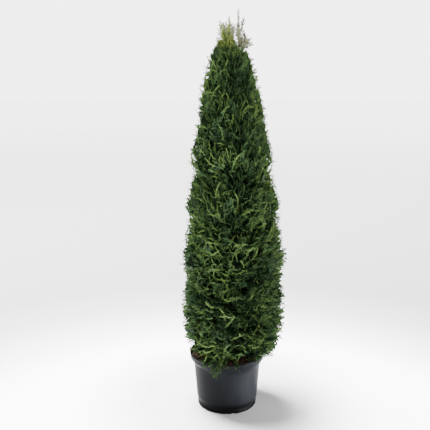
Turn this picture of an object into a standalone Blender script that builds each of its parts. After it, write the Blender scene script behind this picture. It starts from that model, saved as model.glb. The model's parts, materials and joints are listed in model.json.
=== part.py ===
"""A potted emerald green arborvitae: a narrow evergreen cone, 1.65 m tall, in a 32 cm nursery pot.

One trunk runs from the soil to the leader's tip. Short boughs rise from it, and each ends at a
mass of foliage: a dense core with flat toothed sprays standing out of it. The masses stand in
tiers, and each keeps to its own wedge of its tier, so the seams between them are the crown's gaps.
Metres, +Z up, with the origin at the centre of the pot's underside.
"""

import math
import random

import bmesh
import bpy
from mathutils import Matrix, Vector

# Clearances
GAP = 0.0003
ROOT_GAP = 0.0005
SPACE_MARGIN = 0.003

# Pot
POT_HEIGHT = 0.235
POT_RIM_RADIUS = 0.160
POT_LIP_HEIGHT = 0.022
POT_LIP_SLOPE = 0.022
POT_LIP_DRAFT = 0.0015
POT_RIM_ROUND = 0.001
POT_BODY_RADIUS = 0.142
POT_BASE_RADIUS = 0.1275
POT_FOOT_HEIGHT = 0.038
POT_FOOT_STEP = 0.0025
POT_EDGE_ROUND = 0.007
POT_WALL = 0.0028
POT_FLOOR = 0.004
TURN_STEPS = 40

# Soil
SOIL_BELOW_RIM = 0.018
SOIL_CROWN = 0.003
SOIL_FLAT_RADIUS = 0.050

# Trunk
SOIL_TOP = POT_HEIGHT - SOIL_BELOW_RIM
TRUNK_FOOT = SOIL_TOP + GAP
TREE_TOP = 1.651
TRUNK_RADIUS = 0.0125
TRUNK_TIP_RADIUS = 0.0012
ROOT_FLARE = 0.013
ROOT_FLARE_HEIGHT = 0.014
TRUNK_SIDES = 16
# Height, and how far right and back of the origin the trunk's middle is there.
TRUNK_BENDS = (
    (TRUNK_FOOT, 0.014, 0.000),
    (0.300, 0.016, 0.001),
    (0.550, 0.021, 0.003),
    (0.850, 0.020, 0.000),
    (1.150, 0.019, -0.002),
    (1.330, 0.022, 0.000),
    (1.420, 0.031, 0.001),
    (1.480, 0.041, 0.001),
    (1.550, 0.042, 0.000),
    (TREE_TOP, 0.037, 0.000),
)

# Crown: its outline as heights and radii, round a centre that moves left as it rises
CROWN_OUTLINE = (
    (0.245, 0.172),
    (0.310, 0.203),
    (0.460, 0.209),
    (0.555, 0.195),
    (0.655, 0.215),
    (0.790, 0.185),
    (0.870, 0.190),
    (1.010, 0.156),
    (1.060, 0.168),
    (1.200, 0.136),
    (1.260, 0.133),
    (1.370, 0.106),
    (1.460, 0.083),
    (1.550, 0.055),
    (1.590, 0.042),
    (1.630, 0.014),
)
CROWN_CENTRES = ((0.750, 0.025), (1.450, 0.007))
CROWN_AXIS = 0.020
CROWN_FLOOR = 0.250
TIER_SLOPE = 0.90
# Height of each seam between tiers at the crown's outline, then each tier's wedges and first bearing
TIER_SEAMS = (0.560, 0.800, 1.010, 1.200, 1.370, 1.490)
TIER_WEDGES = (5, 5, 4, 4, 3, 3)
TIER_BEARINGS = (-90.0, -68.0, -90.0, -62.0, -100.0, -60.0)
TIER_INNER = (0.045, 0.045, 0.042, 0.038, 0.034, 0.031)
TIER_SPRAYS = (9, 9, 9, 9, 11, 8)

# Cores of the dense masses
CORE_SHARE = 0.86
CORE_TOP = 0.93
CORE_BOTTOM = 0.02
CORE_CUTS = 2
CORE_BULGE = 0.12
CORE_ROUGHNESS = 0.11

# Sprays and twigs
HUB_OUT = 0.52
HUB_UP = 0.34
STEM_SHORT = 0.004
STEM_UP = 0.30
TIP_SHARE = 0.985
FORKS = (0.55, 0.95)
SPRAY_LENGTH = 0.62
LONGEST_SPRAY = 0.125
SPRAY_WIDTH = 0.62
SPRAY_THICKNESS = 0.0024
LOW_LEAN = math.radians(4.0)
HIGH_LEAN = math.radians(66.0)
TWIG_RADIUS = 0.0026
TWIG_SUNK = 0.12
ACROSS_SHARE = 0.90
GOLDEN_STEP = 0.618034
TWISTS = 9

# Boughs
BOUGH_SIDES = 6
BOUGH_LENGTH_OUT = 0.007
BOUGH_RISE = 0.055
BOUGH_SAG = 0.004
BOUGH_EASE = 0.30
BOUGH_SHARE = 0.36
BOUGH_TAPER = 0.60
LOWEST_BOUGH = 0.026

# The tuft that tops the crown left of the trunk: the height, middle and half width of its tips
TUFT_ROOT_HEIGHT = 1.375
TUFT_ENTRANCE = Vector((0.010, 0.0, 1.450))
TUFT_HUB = Vector((0.002, 0.0, 1.512))
TUFT_HALF_SIZE = Vector((0.024, 0.030, 0.048))
TUFT_TIPS = ((1.512, -0.014, 0.047), (1.623, 0.008, 0.003))
TUFT_SPRAYS = 12
TUFT_SPRAY_LENGTH = 0.075
TUFT_SEED = 71

# The sparse shoots right of the trunk's tip: the height and reach of their tips
SHOOTS_ROOT_HEIGHT = 1.484
SHOOTS_HUB = Vector((0.061, 0.0, 1.508))
SHOOTS_TIPS = ((1.526, 0.054), (1.613, 0.017))
SHOOTS_COUNT = 6
SHOOTS_SPREAD = math.radians(62.0)
SHOOTS_SEED = 83
SLIM_SPRAY = 0.42
TRUNK_CLEARANCE = 0.007

# The sprays that hang over the pot's rim: bearing, then how low and how far to each side they reach
DRAPES = (
    ("drape_front", math.radians(-101.0), 0.172, 0.040, 4),
    ("drape_right", math.radians(-6.0), 0.200, 0.030, 3),
)
DRAPE_ROOT_RISE = 0.0115
DRAPE_BOUGH_RADIUS = 0.0034
RIM_CLEARANCE = 0.0030
DRAPE_HUB_OUT = 0.013
DRAPE_OUT = 0.019
DRAPE_SEED = 97

UP = Vector((0.0, 0.0, 1.0))

# Scene and finishes
def clear_scene():
    """Leave nothing of the startup scene."""
    for thing in list(bpy.data.objects):
        bpy.data.objects.remove(thing, do_unlink=True)


def collection(name):
    """A new collection in the scene."""
    made = bpy.data.collections.new(name)
    bpy.context.scene.collection.children.link(made)
    return made


def finish(name, colour, roughness):
    """A material of one colour."""
    made = bpy.data.materials.new(name)
    made.use_nodes = True
    shader = made.node_tree.nodes["Principled BSDF"]
    shader.inputs["Base Color"].default_value = (*colour, 1.0)
    shader.inputs["Roughness"].default_value = roughness
    shader.inputs["Metallic"].default_value = 0.0
    return made


def placed(name, data, where, material):
    """An object of this mesh or curve, in a collection and with its material."""
    data.materials.clear()
    data.materials.append(material)
    thing = bpy.data.objects.new(name, data)
    where.objects.link(thing)
    return thing


# Turned pieces
def turned(name, profile, steps, where, material):
    """A profile of radii and heights, turned about the Z axis."""
    mesh = bpy.data.meshes.new(name)
    corners = [(radius, 0.0, height) for radius, height in profile]
    mesh.from_pydata(corners, [(i, i + 1) for i in range(len(corners) - 1)], [])
    thing = placed(name, mesh, where, material)
    screw = thing.modifiers.new("Turn", "SCREW")
    screw.steps = steps
    screw.render_steps = steps
    screw.use_merge_vertices = True
    screw.merge_threshold = 0.00001
    screw.use_smooth_shade = True
    return thing


def pot_radius(height):
    """The pot's outer radius between the foot's step and the lip's slope."""
    body_top = POT_HEIGHT - POT_LIP_HEIGHT - POT_LIP_SLOPE
    share = (height - POT_FOOT_HEIGHT) / (body_top - POT_FOOT_HEIGHT)
    foot_radius = POT_BASE_RADIUS + POT_FOOT_STEP
    return foot_radius + share * (POT_BODY_RADIUS - foot_radius)


def pot_inside():
    """The inner wall's profile, from the middle of the floor up to the rim."""
    lip_low = POT_HEIGHT - POT_LIP_HEIGHT
    body_top = lip_low - POT_LIP_SLOPE
    return [
        (0.0, POT_FLOOR),
        (POT_BASE_RADIUS - POT_WALL - POT_EDGE_ROUND, POT_FLOOR),
        (POT_BASE_RADIUS - POT_WALL, POT_FLOOR + POT_EDGE_ROUND),
        (POT_BODY_RADIUS - POT_WALL, body_top),
        (POT_RIM_RADIUS - POT_LIP_DRAFT - POT_WALL, lip_low),
        (POT_RIM_RADIUS - POT_WALL, POT_HEIGHT - POT_RIM_ROUND),
    ]


def make_pot(where, material):
    """The pot: a thin wall with a wide lip, a stepped foot and a flat underside."""
    lip_low = POT_HEIGHT - POT_LIP_HEIGHT
    body_top = lip_low - POT_LIP_SLOPE
    outside = [
        (POT_RIM_RADIUS - POT_WALL + POT_RIM_ROUND * 0.8, POT_HEIGHT),
        (POT_RIM_RADIUS - POT_RIM_ROUND * 0.8, POT_HEIGHT),
        (POT_RIM_RADIUS, POT_HEIGHT - POT_RIM_ROUND),
        (POT_RIM_RADIUS - POT_LIP_DRAFT, lip_low),
        (POT_BODY_RADIUS, body_top),
        (pot_radius(POT_FOOT_HEIGHT), POT_FOOT_HEIGHT),
        (POT_BASE_RADIUS, POT_FOOT_HEIGHT - POT_FOOT_STEP),
        (POT_BASE_RADIUS - POT_EDGE_ROUND * 0.15, POT_EDGE_ROUND),
        (POT_BASE_RADIUS - POT_EDGE_ROUND * 0.35, POT_EDGE_ROUND * 0.3),
        (POT_BASE_RADIUS - POT_EDGE_ROUND, 0.0),
        (0.0, 0.0),
    ]
    return turned("pot", pot_inside() + outside, TURN_STEPS, where, material)


def make_soil(where, material):
    """The soil that fills the pot, flat under the trunk and a little lower at the wall."""
    edge = SOIL_TOP - SOIL_CROWN
    inside = pot_inside()
    (low_radius, low), (high_radius, high) = inside[4], inside[5]
    edge_radius = low_radius + (edge - low) / (high - low) * (high_radius - low_radius)
    top = [(0.0, SOIL_TOP), (SOIL_FLAT_RADIUS, SOIL_TOP), (edge_radius - GAP, edge)]
    wall = [(radius - GAP, height) for radius, height in reversed(inside[2:5])]
    floor = [(inside[1][0], POT_FLOOR + GAP), (0.0, POT_FLOOR + GAP)]
    return turned("soil", top + wall + floor, TURN_STEPS, where, material)


# Limbs
def between(table, at):
    """The row of a table at this first value, with straight lines between its rows."""
    if at <= table[0][0]:
        return table[0][1:]
    for low, high in zip(table, table[1:]):
        if at <= high[0]:
            share = (at - low[0]) / (high[0] - low[0])
            return tuple(a + share * (b - a) for a, b in zip(low[1:], high[1:]))
    return table[-1][1:]


def trunk_stations():
    """Height, right, back and radius at each ring of the trunk, closest together at the root flare."""
    heights = [TRUNK_FOOT + rise for rise in (0.0, 0.006, 0.013, 0.022, 0.036, 0.055)]
    heights += [height for height, _, _ in TRUNK_BENDS[1:]]
    stations = []
    for height in heights:
        right, back = between(TRUNK_BENDS, height)
        climb = (height - TRUNK_FOOT) / (TREE_TOP - TRUNK_FOOT)
        flare = ROOT_FLARE * math.exp(-(height - TRUNK_FOOT) / ROOT_FLARE_HEIGHT)
        radius = TRUNK_TIP_RADIUS + (TRUNK_RADIUS - TRUNK_TIP_RADIUS) * (1.0 - climb) + flare
        stations.append((height, right, back, radius))
    # The lowest ring is straight under the next, so that the cut is level.
    stations[0] = (stations[0][0], stations[1][1], stations[1][2], stations[0][3])
    return stations


def limb(name, points, radii, sides, where, material):
    """A limb that tapers along its points: a curve with a round bevel and closed ends."""
    curve = bpy.data.curves.new(name, "CURVE")
    curve.dimensions = "3D"
    curve.bevel_depth = 1.0
    curve.bevel_resolution = sides // 2 - 2
    curve.use_fill_caps = True
    spline = curve.splines.new("POLY")
    spline.points.add(len(points) - 1)
    for spot, point, radius in zip(spline.points, points, radii):
        spot.co = (*point, 1.0)
        spot.radius = radius
    return placed(name, curve, where, material)


def make_trunk(where, material):
    """The trunk, whole from its flat cut on the soil to the leader's tip."""
    stations = trunk_stations()
    points = [Vector((right, back, height)) for height, right, back, _ in stations]
    radii = [radius for _, _, _, radius in stations]
    return limb("trunk", points, radii, TRUNK_SIDES, where, material)


def bough_root(root_height, radius, toward):
    """The first two points of a bough, which leaves the trunk square and towards a point."""
    right, back, _ = between(trunk_stations(), root_height)
    widest = between(trunk_stations(), root_height - radius)[2] * math.cos(math.pi / TRUNK_SIDES)
    away = Vector((toward.x - right, toward.y - back, 0.0)).normalized()
    root = Vector((right, back, root_height)) + away * (widest + ROOT_GAP)
    return [root, root + away * BOUGH_LENGTH_OUT]


def make_bough(name, points, radius, where, material):
    """A bough along these points that tapers to its tip, whose radius it returns."""
    taper = (1.0 - BOUGH_TAPER) / (len(points) - 1)
    radii = [radius * (1.0 - taper * i) for i in range(len(points))]
    limb("bough_" + name, points, radii, BOUGH_SIDES, where, material)
    return radii[-1]


def make_rising_bough(name, root_height, tip, heading, where, material):
    """A bough that rises to its tip, where it points along the heading of the mass's stem."""
    radius = BOUGH_SHARE * between(trunk_stations(), root_height)[2]
    root, out = bough_root(root_height, radius, tip)
    last = tip - heading * (tip - out).length * BOUGH_EASE
    points = [root, out, out.lerp(last, 0.5) - UP * BOUGH_SAG, last, tip]
    return make_bough(name, points, radius, where, material)


# The crown's outline and the spaces in it
def outline_radius(height):
    """The crown's radius at a height."""
    return between(CROWN_OUTLINE, height)[0]


def outline_centre(height):
    """How far right of the origin the crown's middle is at a height."""
    return between(CROWN_CENTRES, height)[0]


def seam_at_axis(height):
    """The height at the crown's axis of a seam that meets the outline at this height."""
    return height - TIER_SLOPE * outline_radius(height)


class Space:
    """The room of one mass: a wedge of a tier, between two seams that rise outwards."""

    def __init__(self, tier, bearing, spread):
        self.bearing = bearing
        self.half = spread / 2
        self.inner = TIER_INNER[tier]
        self.lowest = tier == 0
        self.floor = CROWN_FLOOR if self.lowest else seam_at_axis(TIER_SEAMS[tier - 1])
        self.ceiling = seam_at_axis(TIER_SEAMS[tier])
        self.out = Vector((math.cos(bearing), math.sin(bearing), 0.0))

    def floor_at(self, radius):
        """The space's lowest height this far from the crown's axis."""
        return self.floor + (0.0 if self.lowest else TIER_SLOPE * radius)

    def ceiling_at(self, radius):
        """The space's greatest height this far from the crown's axis."""
        return self.ceiling + TIER_SLOPE * radius

    def holds(self, point, share=1.0):
        """Whether a point is in the space, within this share of the crown's outline."""
        right, back = point.x - CROWN_AXIS, point.y
        radius = math.hypot(right, back)
        along = right * self.out.x + back * self.out.y
        across = abs(back * self.out.x - right * self.out.y)
        reach = math.hypot(point.x - outline_centre(point.z), point.y)
        return (
            along > self.inner
            and along * math.tan(self.half) - across > SPACE_MARGIN / math.cos(self.half)
            and self.floor_at(radius) + SPACE_MARGIN < point.z
            and point.z < self.ceiling_at(radius) - SPACE_MARGIN
            and reach < share * outline_radius(point.z)
        )

    def at(self, radius, up):
        """The point on the wedge's middle plane this far out and this share of the way up."""
        floor, ceiling = self.floor_at(radius), self.ceiling_at(radius)
        point = self.out * radius
        point.x += CROWN_AXIS
        point.z = floor + up * (ceiling - floor)
        return point

    def on_outline(self, across, up):
        """The point of the crown's outline at this share across and up the wedge."""
        turn = self.bearing + across * self.half
        radius = outline_radius(self.floor_at(self.inner))
        height = 0.0
        for _ in range(4):
            floor, ceiling = self.floor_at(radius), self.ceiling_at(radius)
            height = floor + up * (ceiling - floor)
            shift = CROWN_AXIS - outline_centre(height)
            wide = outline_radius(height)
            radius = -shift * math.cos(turn) + math.sqrt(wide**2 - (shift * math.sin(turn)) ** 2)
        return Vector((CROWN_AXIS + radius * math.cos(turn), radius * math.sin(turn), height))

    def inside(self, across, out, up, share):
        """The point this far across (-1 to 1), out and up the wedge, within a share of the outline."""
        shell = self.on_outline(across, up)
        wide = math.hypot(shell.x - CROWN_AXIS, shell.y) * share
        turn = across * (self.half - math.asin(SPACE_MARGIN / self.inner))
        near = (self.inner + SPACE_MARGIN) / math.cos(turn)
        radius = near + out * (wide - near)
        turn = across * (self.half - math.asin(1.2 * SPACE_MARGIN / radius))
        floor = self.floor_at(radius) + SPACE_MARGIN
        ceiling = self.ceiling_at(radius) - SPACE_MARGIN
        bearing = self.bearing + turn
        return Vector(
            (
                CROWN_AXIS + radius * math.cos(bearing),
                radius * math.sin(bearing),
                floor + up * (ceiling - floor),
            )
        )


# Foliage
def as_mesh_object(thing, where, material):
    """A curve object made a mesh with its caps welded, in its place."""
    graph = bpy.context.evaluated_depsgraph_get()
    mesh = bpy.data.meshes.new_from_object(thing.evaluated_get(graph))
    welded = bmesh.new()
    welded.from_mesh(mesh)
    bmesh.ops.remove_doubles(welded, verts=welded.verts, dist=0.00001)
    welded.to_mesh(mesh)
    welded.free()
    made = placed(thing.name, mesh, where, material)
    made.matrix_world = thing.matrix_world
    bpy.data.objects.remove(thing, do_unlink=True)
    return made


def spray_outline(teeth):
    """A spray's flat outline, one long and half wide to each side, with its teeth set alternately."""
    right, left = [(0.0, 0.06)], [(0.0, -0.06)]
    for i in range(teeth):
        along = 0.34 + 0.42 * i / max(teeth - 1, 1)
        wide = 0.50 - 0.22 * i / max(teeth - 1, 1)
        side, sign = (right, 1) if i % 2 == 0 else (left, -1)
        side.append((along + 0.16, sign * wide))
        side.append((along + 0.15, sign * wide * 0.36))
    return left + [(1.0, 0.0)] + right[::-1]


def spray_blade(name, teeth, where, material):
    """One toothed spray of unit length and width, as a flat curve with both faces filled."""
    curve = bpy.data.curves.new(name, "CURVE")
    curve.dimensions = "2D"
    curve.fill_mode = "BOTH"
    curve.extrude = SPRAY_THICKNESS / 2
    spline = curve.splines.new("POLY")
    outline = spray_outline(teeth)
    spline.points.add(len(outline) - 1)
    for spot, (along, across) in zip(spline.points, outline):
        spot.co = (along, across, 0.0, 1.0)
    spline.use_cyclic_u = True
    return as_mesh_object(placed(name, curve, where, material), where, material)


def tapering_rod(start, end, radius, end_radius, sides):
    """The mesh of a straight twig from one point to another."""
    rod = bmesh.new()
    bmesh.ops.create_cone(
        rod,
        cap_ends=True,
        segments=sides,
        radius1=radius,
        radius2=end_radius,
        depth=(end - start).length,
    )
    turn = (end - start).to_track_quat("Z", "Y").to_matrix().to_4x4()
    bmesh.ops.transform(rod, matrix=Matrix.Translation((start + end) / 2) @ turn, verts=rod.verts)
    mesh = bpy.data.meshes.new("rod")
    rod.to_mesh(mesh)
    rod.free()
    return mesh


def core_mesh(space, chance):
    """The lump at the heart of a dense mass: a cut cube bent to its wedge, and bulging outwards."""
    lump = bmesh.new()
    bmesh.ops.create_cube(lump, size=2.0)
    bmesh.ops.subdivide_edges(lump, edges=lump.edges, cuts=CORE_CUTS, use_grid_fill=True)
    for vertex in lump.verts:
        out, across, up = vertex.co
        bulge = 1.0 - CORE_BULGE * (across**2 + up**2) / 2 - chance.uniform(0.0, CORE_ROUGHNESS)
        height = CORE_BOTTOM + (CORE_TOP - CORE_BOTTOM) * (up + 1.0) / 2
        vertex.co = space.inside(across, (out + 1.0) / 2, height, CORE_SHARE * bulge)
    mesh = bpy.data.meshes.new("core")
    lump.to_mesh(mesh)
    lump.free()
    return mesh


def spray_mesh(blade, root, tip, width, twist):
    """A copy of a spray from its root to its tip, turned about its own length."""
    length = (tip - root).length
    along = (tip - root) / length
    level = along.cross(UP)
    upright = level.cross(along).normalized()
    side = Matrix.Rotation(twist, 3, along) @ upright
    face = along.cross(side)
    turn = Matrix((along * length, side * width, face)).transposed().to_4x4()
    mesh = blade.data.copy()
    mesh.transform(Matrix.Translation(root) @ turn)
    return mesh


def largest_shell(mesh):
    """Keep the mesh's one outer body, without scraps or sealed hollows."""
    whole = bmesh.new()
    whole.from_mesh(mesh)
    left, shells = set(whole.faces), []
    while left:
        grown, edge = set(), [left.pop()]
        while edge:
            face = edge.pop()
            grown.add(face)
            near = {other for side in face.edges for other in side.link_faces} & left
            left -= near
            edge.extend(near)
        shells.append(grown)
    keep = max(shells, key=len)
    drop = [face for face in whole.faces if face not in keep]
    bmesh.ops.delete(whole, geom=drop, context="FACES")
    bmesh.ops.triangulate(whole, faces=whole.faces)
    closed = all(edge.is_manifold for edge in whole.edges)
    whole.to_mesh(mesh)
    whole.free()
    return closed


def fused(name, meshes, where, material):
    """One object of all these meshes, joined by a Boolean union on a collection."""
    for solver in ("EXACT", "MANIFOLD"):
        joining = collection("joining " + name)
        base = placed(name, meshes[0].copy(), where, material)
        for mesh in meshes[1:]:
            placed(name + " piece", mesh.copy(), joining, material)
        union = base.modifiers.new("Join", "BOOLEAN")
        union.operation = "UNION"
        union.operand_type = "COLLECTION"
        union.collection = joining
        union.solver = solver
        graph = bpy.context.evaluated_depsgraph_get()
        joined = bpy.data.meshes.new_from_object(base.evaluated_get(graph))
        bpy.data.objects.remove(base, do_unlink=True)
        for piece in list(joining.objects):
            bpy.data.objects.remove(piece, do_unlink=True)
        bpy.data.collections.remove(joining)
        if largest_shell(joined):
            return placed(name, joined, where, material)
    return placed(name, joined, where, material)


def grow_spray(blade, root, tip, allowed, chance, slimness=SPRAY_WIDTH):
    """A spray that reaches this tip and stays where it is allowed, or None where none does."""
    width = slimness * (tip - root).length
    for attempt in range(TWISTS):
        narrow = 1.0 - 0.07 * attempt
        mesh = spray_mesh(blade, root, tip, width * narrow, chance.uniform(-1.5, 1.5))
        if all(allowed(vertex.co) for vertex in mesh.vertices):
            return mesh
    return None


def grow_twig(stem_start, hub, root, tip, chance):
    """The twig that carries a spray, from a place along the mass's stem."""
    fork = stem_start.lerp(hub, chance.uniform(*FORKS))
    return tapering_rod(fork, root.lerp(tip, TWIG_SUNK), TWIG_RADIUS, TWIG_RADIUS * 0.5, 3)


def make_wedge_mass(name, space, sprays, blades, looks, where, seed):
    """A bough and the dense mass that it carries in one wedge of a tier."""
    chance = random.Random(seed)
    middle_height = space.at(outline_radius(space.floor) * HUB_OUT, HUB_UP).z
    outward = space.inner + HUB_OUT * (CORE_SHARE * outline_radius(middle_height) - space.inner)
    hub = space.at(outward, HUB_UP)
    entrance = space.at(space.inner - STEM_SHORT, STEM_UP)
    heading = (hub - entrance).normalized()
    root_height = max(entrance.z - BOUGH_RISE, TRUNK_FOOT + LOWEST_BOUGH)
    tip_radius = make_rising_bough(name, root_height, entrance, heading, where, looks["bark"])
    stem_start = entrance + heading * GAP
    meshes = [core_mesh(space, chance)]
    meshes.append(tapering_rod(stem_start, hub, tip_radius * 0.9, tip_radius * 0.6, 5))
    for i in range(sprays):
        across = 2.0 * math.fmod(0.5 + i * GOLDEN_STEP, 1.0) - 1.0
        up = 0.05 + 0.90 * (i + 0.5) / sprays
        tip = hub.lerp(space.on_outline(across * ACROSS_SHARE, up), TIP_SHARE)
        lean = LOW_LEAN + (HIGH_LEAN - LOW_LEAN) * up
        outward = Vector((tip.x - hub.x, tip.y - hub.y, 0.0)).normalized()
        length = min(LONGEST_SPRAY, SPRAY_LENGTH * outline_radius(tip.z))
        root = tip - (outward * math.cos(lean) + UP * math.sin(lean)) * length
        blade = blades[chance.randrange(len(blades))]
        spray = grow_spray(blade, root, tip, space.holds, chance)
        if spray:
            meshes.append(grow_twig(stem_start, hub, root, tip, chance))
            meshes.append(spray)
    return fused("foliage_" + name, meshes, where, looks["foliage"])


def above_tiers(point):
    """Whether a point is above the seam that ends the highest tier."""
    radius = math.hypot(point.x - CROWN_AXIS, point.y)
    return point.z > seam_at_axis(TIER_SEAMS[-1]) + TIER_SLOPE * radius + SPACE_MARGIN


def right_of_trunk(point):
    """How far a point is to the right of the trunk's middle at its height."""
    return point.x - between(trunk_stations(), point.z)[0]


def tuft_core():
    """The tuft's lump: a ball stretched upwards, and drawn in where it would leave its space."""
    lump = bmesh.new()
    bmesh.ops.create_icosphere(lump, subdivisions=2, radius=1.0)
    for vertex in lump.verts:
        reach = vertex.co * TUFT_HALF_SIZE
        while not tuft_allows(TUFT_HUB + reach):
            reach *= 0.92
        vertex.co = TUFT_HUB + reach
    mesh = bpy.data.meshes.new("core")
    lump.to_mesh(mesh)
    lump.free()
    return mesh


def tuft_allows(point):
    """Whether a point is in the tuft's space."""
    return above_tiers(point) and right_of_trunk(point) < -TRUNK_CLEARANCE


def make_tuft(blades, looks, where):
    """The bough that turns up beside the trunk, and the upright mass on it that tops the crown."""
    chance = random.Random(TUFT_SEED)
    heading = (TUFT_HUB - TUFT_ENTRANCE).normalized()
    tip_radius = make_rising_bough(
        "tuft", TUFT_ROOT_HEIGHT, TUFT_ENTRANCE, heading, where, looks["bark"]
    )
    stem_start = TUFT_ENTRANCE + heading * GAP
    meshes = [tuft_core()]
    meshes.append(tapering_rod(stem_start, TUFT_HUB, tip_radius * 0.9, tip_radius * 0.6, 5))
    for i in range(TUFT_SPRAYS):
        share = i / (TUFT_SPRAYS - 1)
        height, middle, half = (a + share * (b - a) for a, b in zip(*TUFT_TIPS))
        turn = math.pi + 2.0 * math.pi * i * GOLDEN_STEP
        tip = Vector((middle + half * math.cos(turn), half * math.sin(turn), height))
        root = tip + (TUFT_HUB - UP * 0.02 - tip).normalized() * TUFT_SPRAY_LENGTH
        spray = grow_spray(blades[i % 2], root, tip, tuft_allows, chance, SLIM_SPRAY)
        if spray:
            meshes.append(grow_twig(stem_start, TUFT_HUB, root, tip, chance))
            meshes.append(spray)
    return fused("foliage_tuft", meshes, where, looks["foliage"])


def shoots_allow(point):
    """Whether a point is in the space of the shoots right of the trunk."""
    return above_tiers(point) and right_of_trunk(point) > TRUNK_CLEARANCE


def make_shoots(blades, looks, where):
    """The open spray of shoots right of the leader, whose stem meets the trunk itself."""
    chance = random.Random(SHOOTS_SEED)
    right, back, trunk_radius = between(trunk_stations(), SHOOTS_ROOT_HEIGHT)
    side = Vector((1.0, 0.0, 0.0))
    start = Vector((right, back, SHOOTS_ROOT_HEIGHT)) + side * (trunk_radius + ROOT_GAP)
    elbow = start + side * TRUNK_CLEARANCE
    meshes = [tapering_rod(start, elbow + side * TWIG_RADIUS, TWIG_RADIUS, TWIG_RADIUS, 5)]
    meshes.append(tapering_rod(elbow, SHOOTS_HUB, TWIG_RADIUS, TWIG_RADIUS * 0.8, 5))
    for i in range(SHOOTS_COUNT):
        share = i / (SHOOTS_COUNT - 1)
        height, reach = (a + share * (b - a) for a, b in zip(*SHOOTS_TIPS))
        turn = SHOOTS_SPREAD * (2.0 * math.fmod(0.5 + i * GOLDEN_STEP, 1.0) - 1.0)
        tip = Vector((right + reach * math.cos(turn), reach * math.sin(turn), height))
        root = elbow.lerp(SHOOTS_HUB, 0.45 + 0.5 * share)
        spray = grow_spray(blades[i % 2], root, tip, shoots_allow, chance, SLIM_SPRAY)
        if spray:
            meshes.append(grow_twig(elbow, SHOOTS_HUB, root, tip, chance))
            meshes.append(spray)
    return fused("foliage_shoots", meshes, where, looks["foliage"])


def drape_allows(point):
    """Whether a point is under the lowest tier and outside the pot's rim."""
    outside = math.hypot(point.x, point.y) > POT_RIM_RADIUS + RIM_CLEARANCE / 2
    return outside and point.z < CROWN_FLOOR


def make_drape(name, bearing, lowest, spread, sprays, blades, looks, where):
    """A low bough that runs out over the rim, and the sprays that hang from it outside the pot."""
    chance = random.Random(DRAPE_SEED + sprays)
    out = Vector((math.cos(bearing), math.sin(bearing), 0.0))
    aside = UP.cross(out)
    over_rim = POT_HEIGHT + RIM_CLEARANCE + DRAPE_BOUGH_RADIUS * BOUGH_TAPER
    route = [
        out * POT_RIM_RADIUS * 0.60 + UP * (over_rim - 0.004),
        out * (POT_RIM_RADIUS - 0.004) + UP * over_rim,
        out * (POT_RIM_RADIUS + RIM_CLEARANCE) + UP * over_rim,
    ]
    first = bough_root(TRUNK_FOOT + DRAPE_ROOT_RISE, DRAPE_BOUGH_RADIUS, route[0])
    tip_radius = make_bough(name, first + route, DRAPE_BOUGH_RADIUS, where, looks["bark"])
    start = route[-1] + out * GAP
    hub = out * (POT_RIM_RADIUS + DRAPE_HUB_OUT) + UP * over_rim
    meshes = [tapering_rod(start, hub, tip_radius * 0.9, tip_radius * 0.8, 5)]
    for i in range(sprays):
        share = i / (sprays - 1)
        across = spread * (2.0 * share - 1.0)
        hang = 1.0 - 0.45 * abs(2.0 * share - 1.0)
        drop = hang * (POT_HEIGHT - lowest)
        tip = out * (POT_RIM_RADIUS + DRAPE_OUT) + aside * across + UP * (POT_HEIGHT - drop)
        root = start.lerp(hub, 0.75)
        spray = grow_spray(blades[i % 2], root, tip, drape_allows, chance, SLIM_SPRAY)
        if spray:
            meshes.append(grow_twig(start, hub, root, tip, chance))
            meshes.append(spray)
    return fused("foliage_" + name, meshes, where, looks["foliage"])


def main():
    """Build the whole plant in its pot."""
    clear_scene()
    plant = collection("potted arborvitae")
    helpers = collection("spray blades")
    looks = {
        "pot": finish("pot plastic", (0.032, 0.035, 0.040), 0.42),
        "soil": finish("bark mulch", (0.085, 0.040, 0.024), 0.90),
        "bark": finish("bark", (0.130, 0.075, 0.045), 0.85),
        "foliage": finish("scale leaves", (0.055, 0.125, 0.025), 0.55),
    }
    make_pot(plant, looks["pot"])
    make_soil(plant, looks["soil"])
    make_trunk(plant, looks["bark"])
    blades = [spray_blade(f"blade {teeth}", teeth, helpers, looks["foliage"]) for teeth in (2, 3)]
    tier_names = ("skirt", "low", "waist", "middle", "shoulder", "high")
    for tier, tier_name in enumerate(tier_names):
        wedges = TIER_WEDGES[tier]
        for wedge in range(wedges):
            bearing = math.radians(TIER_BEARINGS[tier] + 360.0 * wedge / wedges)
            space = Space(tier, bearing, 2.0 * math.pi / wedges)
            name = f"{tier_name}_{wedge + 1}"
            make_wedge_mass(name, space, TIER_SPRAYS[tier], blades, looks, plant, 10 * tier + wedge)
    make_tuft(blades, looks, plant)
    make_shoots(blades, looks, plant)
    for drape in DRAPES:
        make_drape(*drape, blades, looks, plant)
    for blade in blades:
        bpy.data.objects.remove(blade, do_unlink=True)


main()
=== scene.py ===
"""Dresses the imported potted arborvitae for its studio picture.

The crown grows by the rule of the part's source: each mass keeps its wedge between two rising
seams, one stem runs from its bough's tip to the mass's hub, and twigs fork from that stem. Here
the twigs are carried on to flat fans of scale-leaf sprays within the same outline.
"""

from __future__ import annotations

import json
import logging
import math
import random
from dataclasses import dataclass, field
from enum import Enum
from typing import Iterable, Sequence

import bpy
from mathutils import Matrix, Vector, noise

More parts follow.
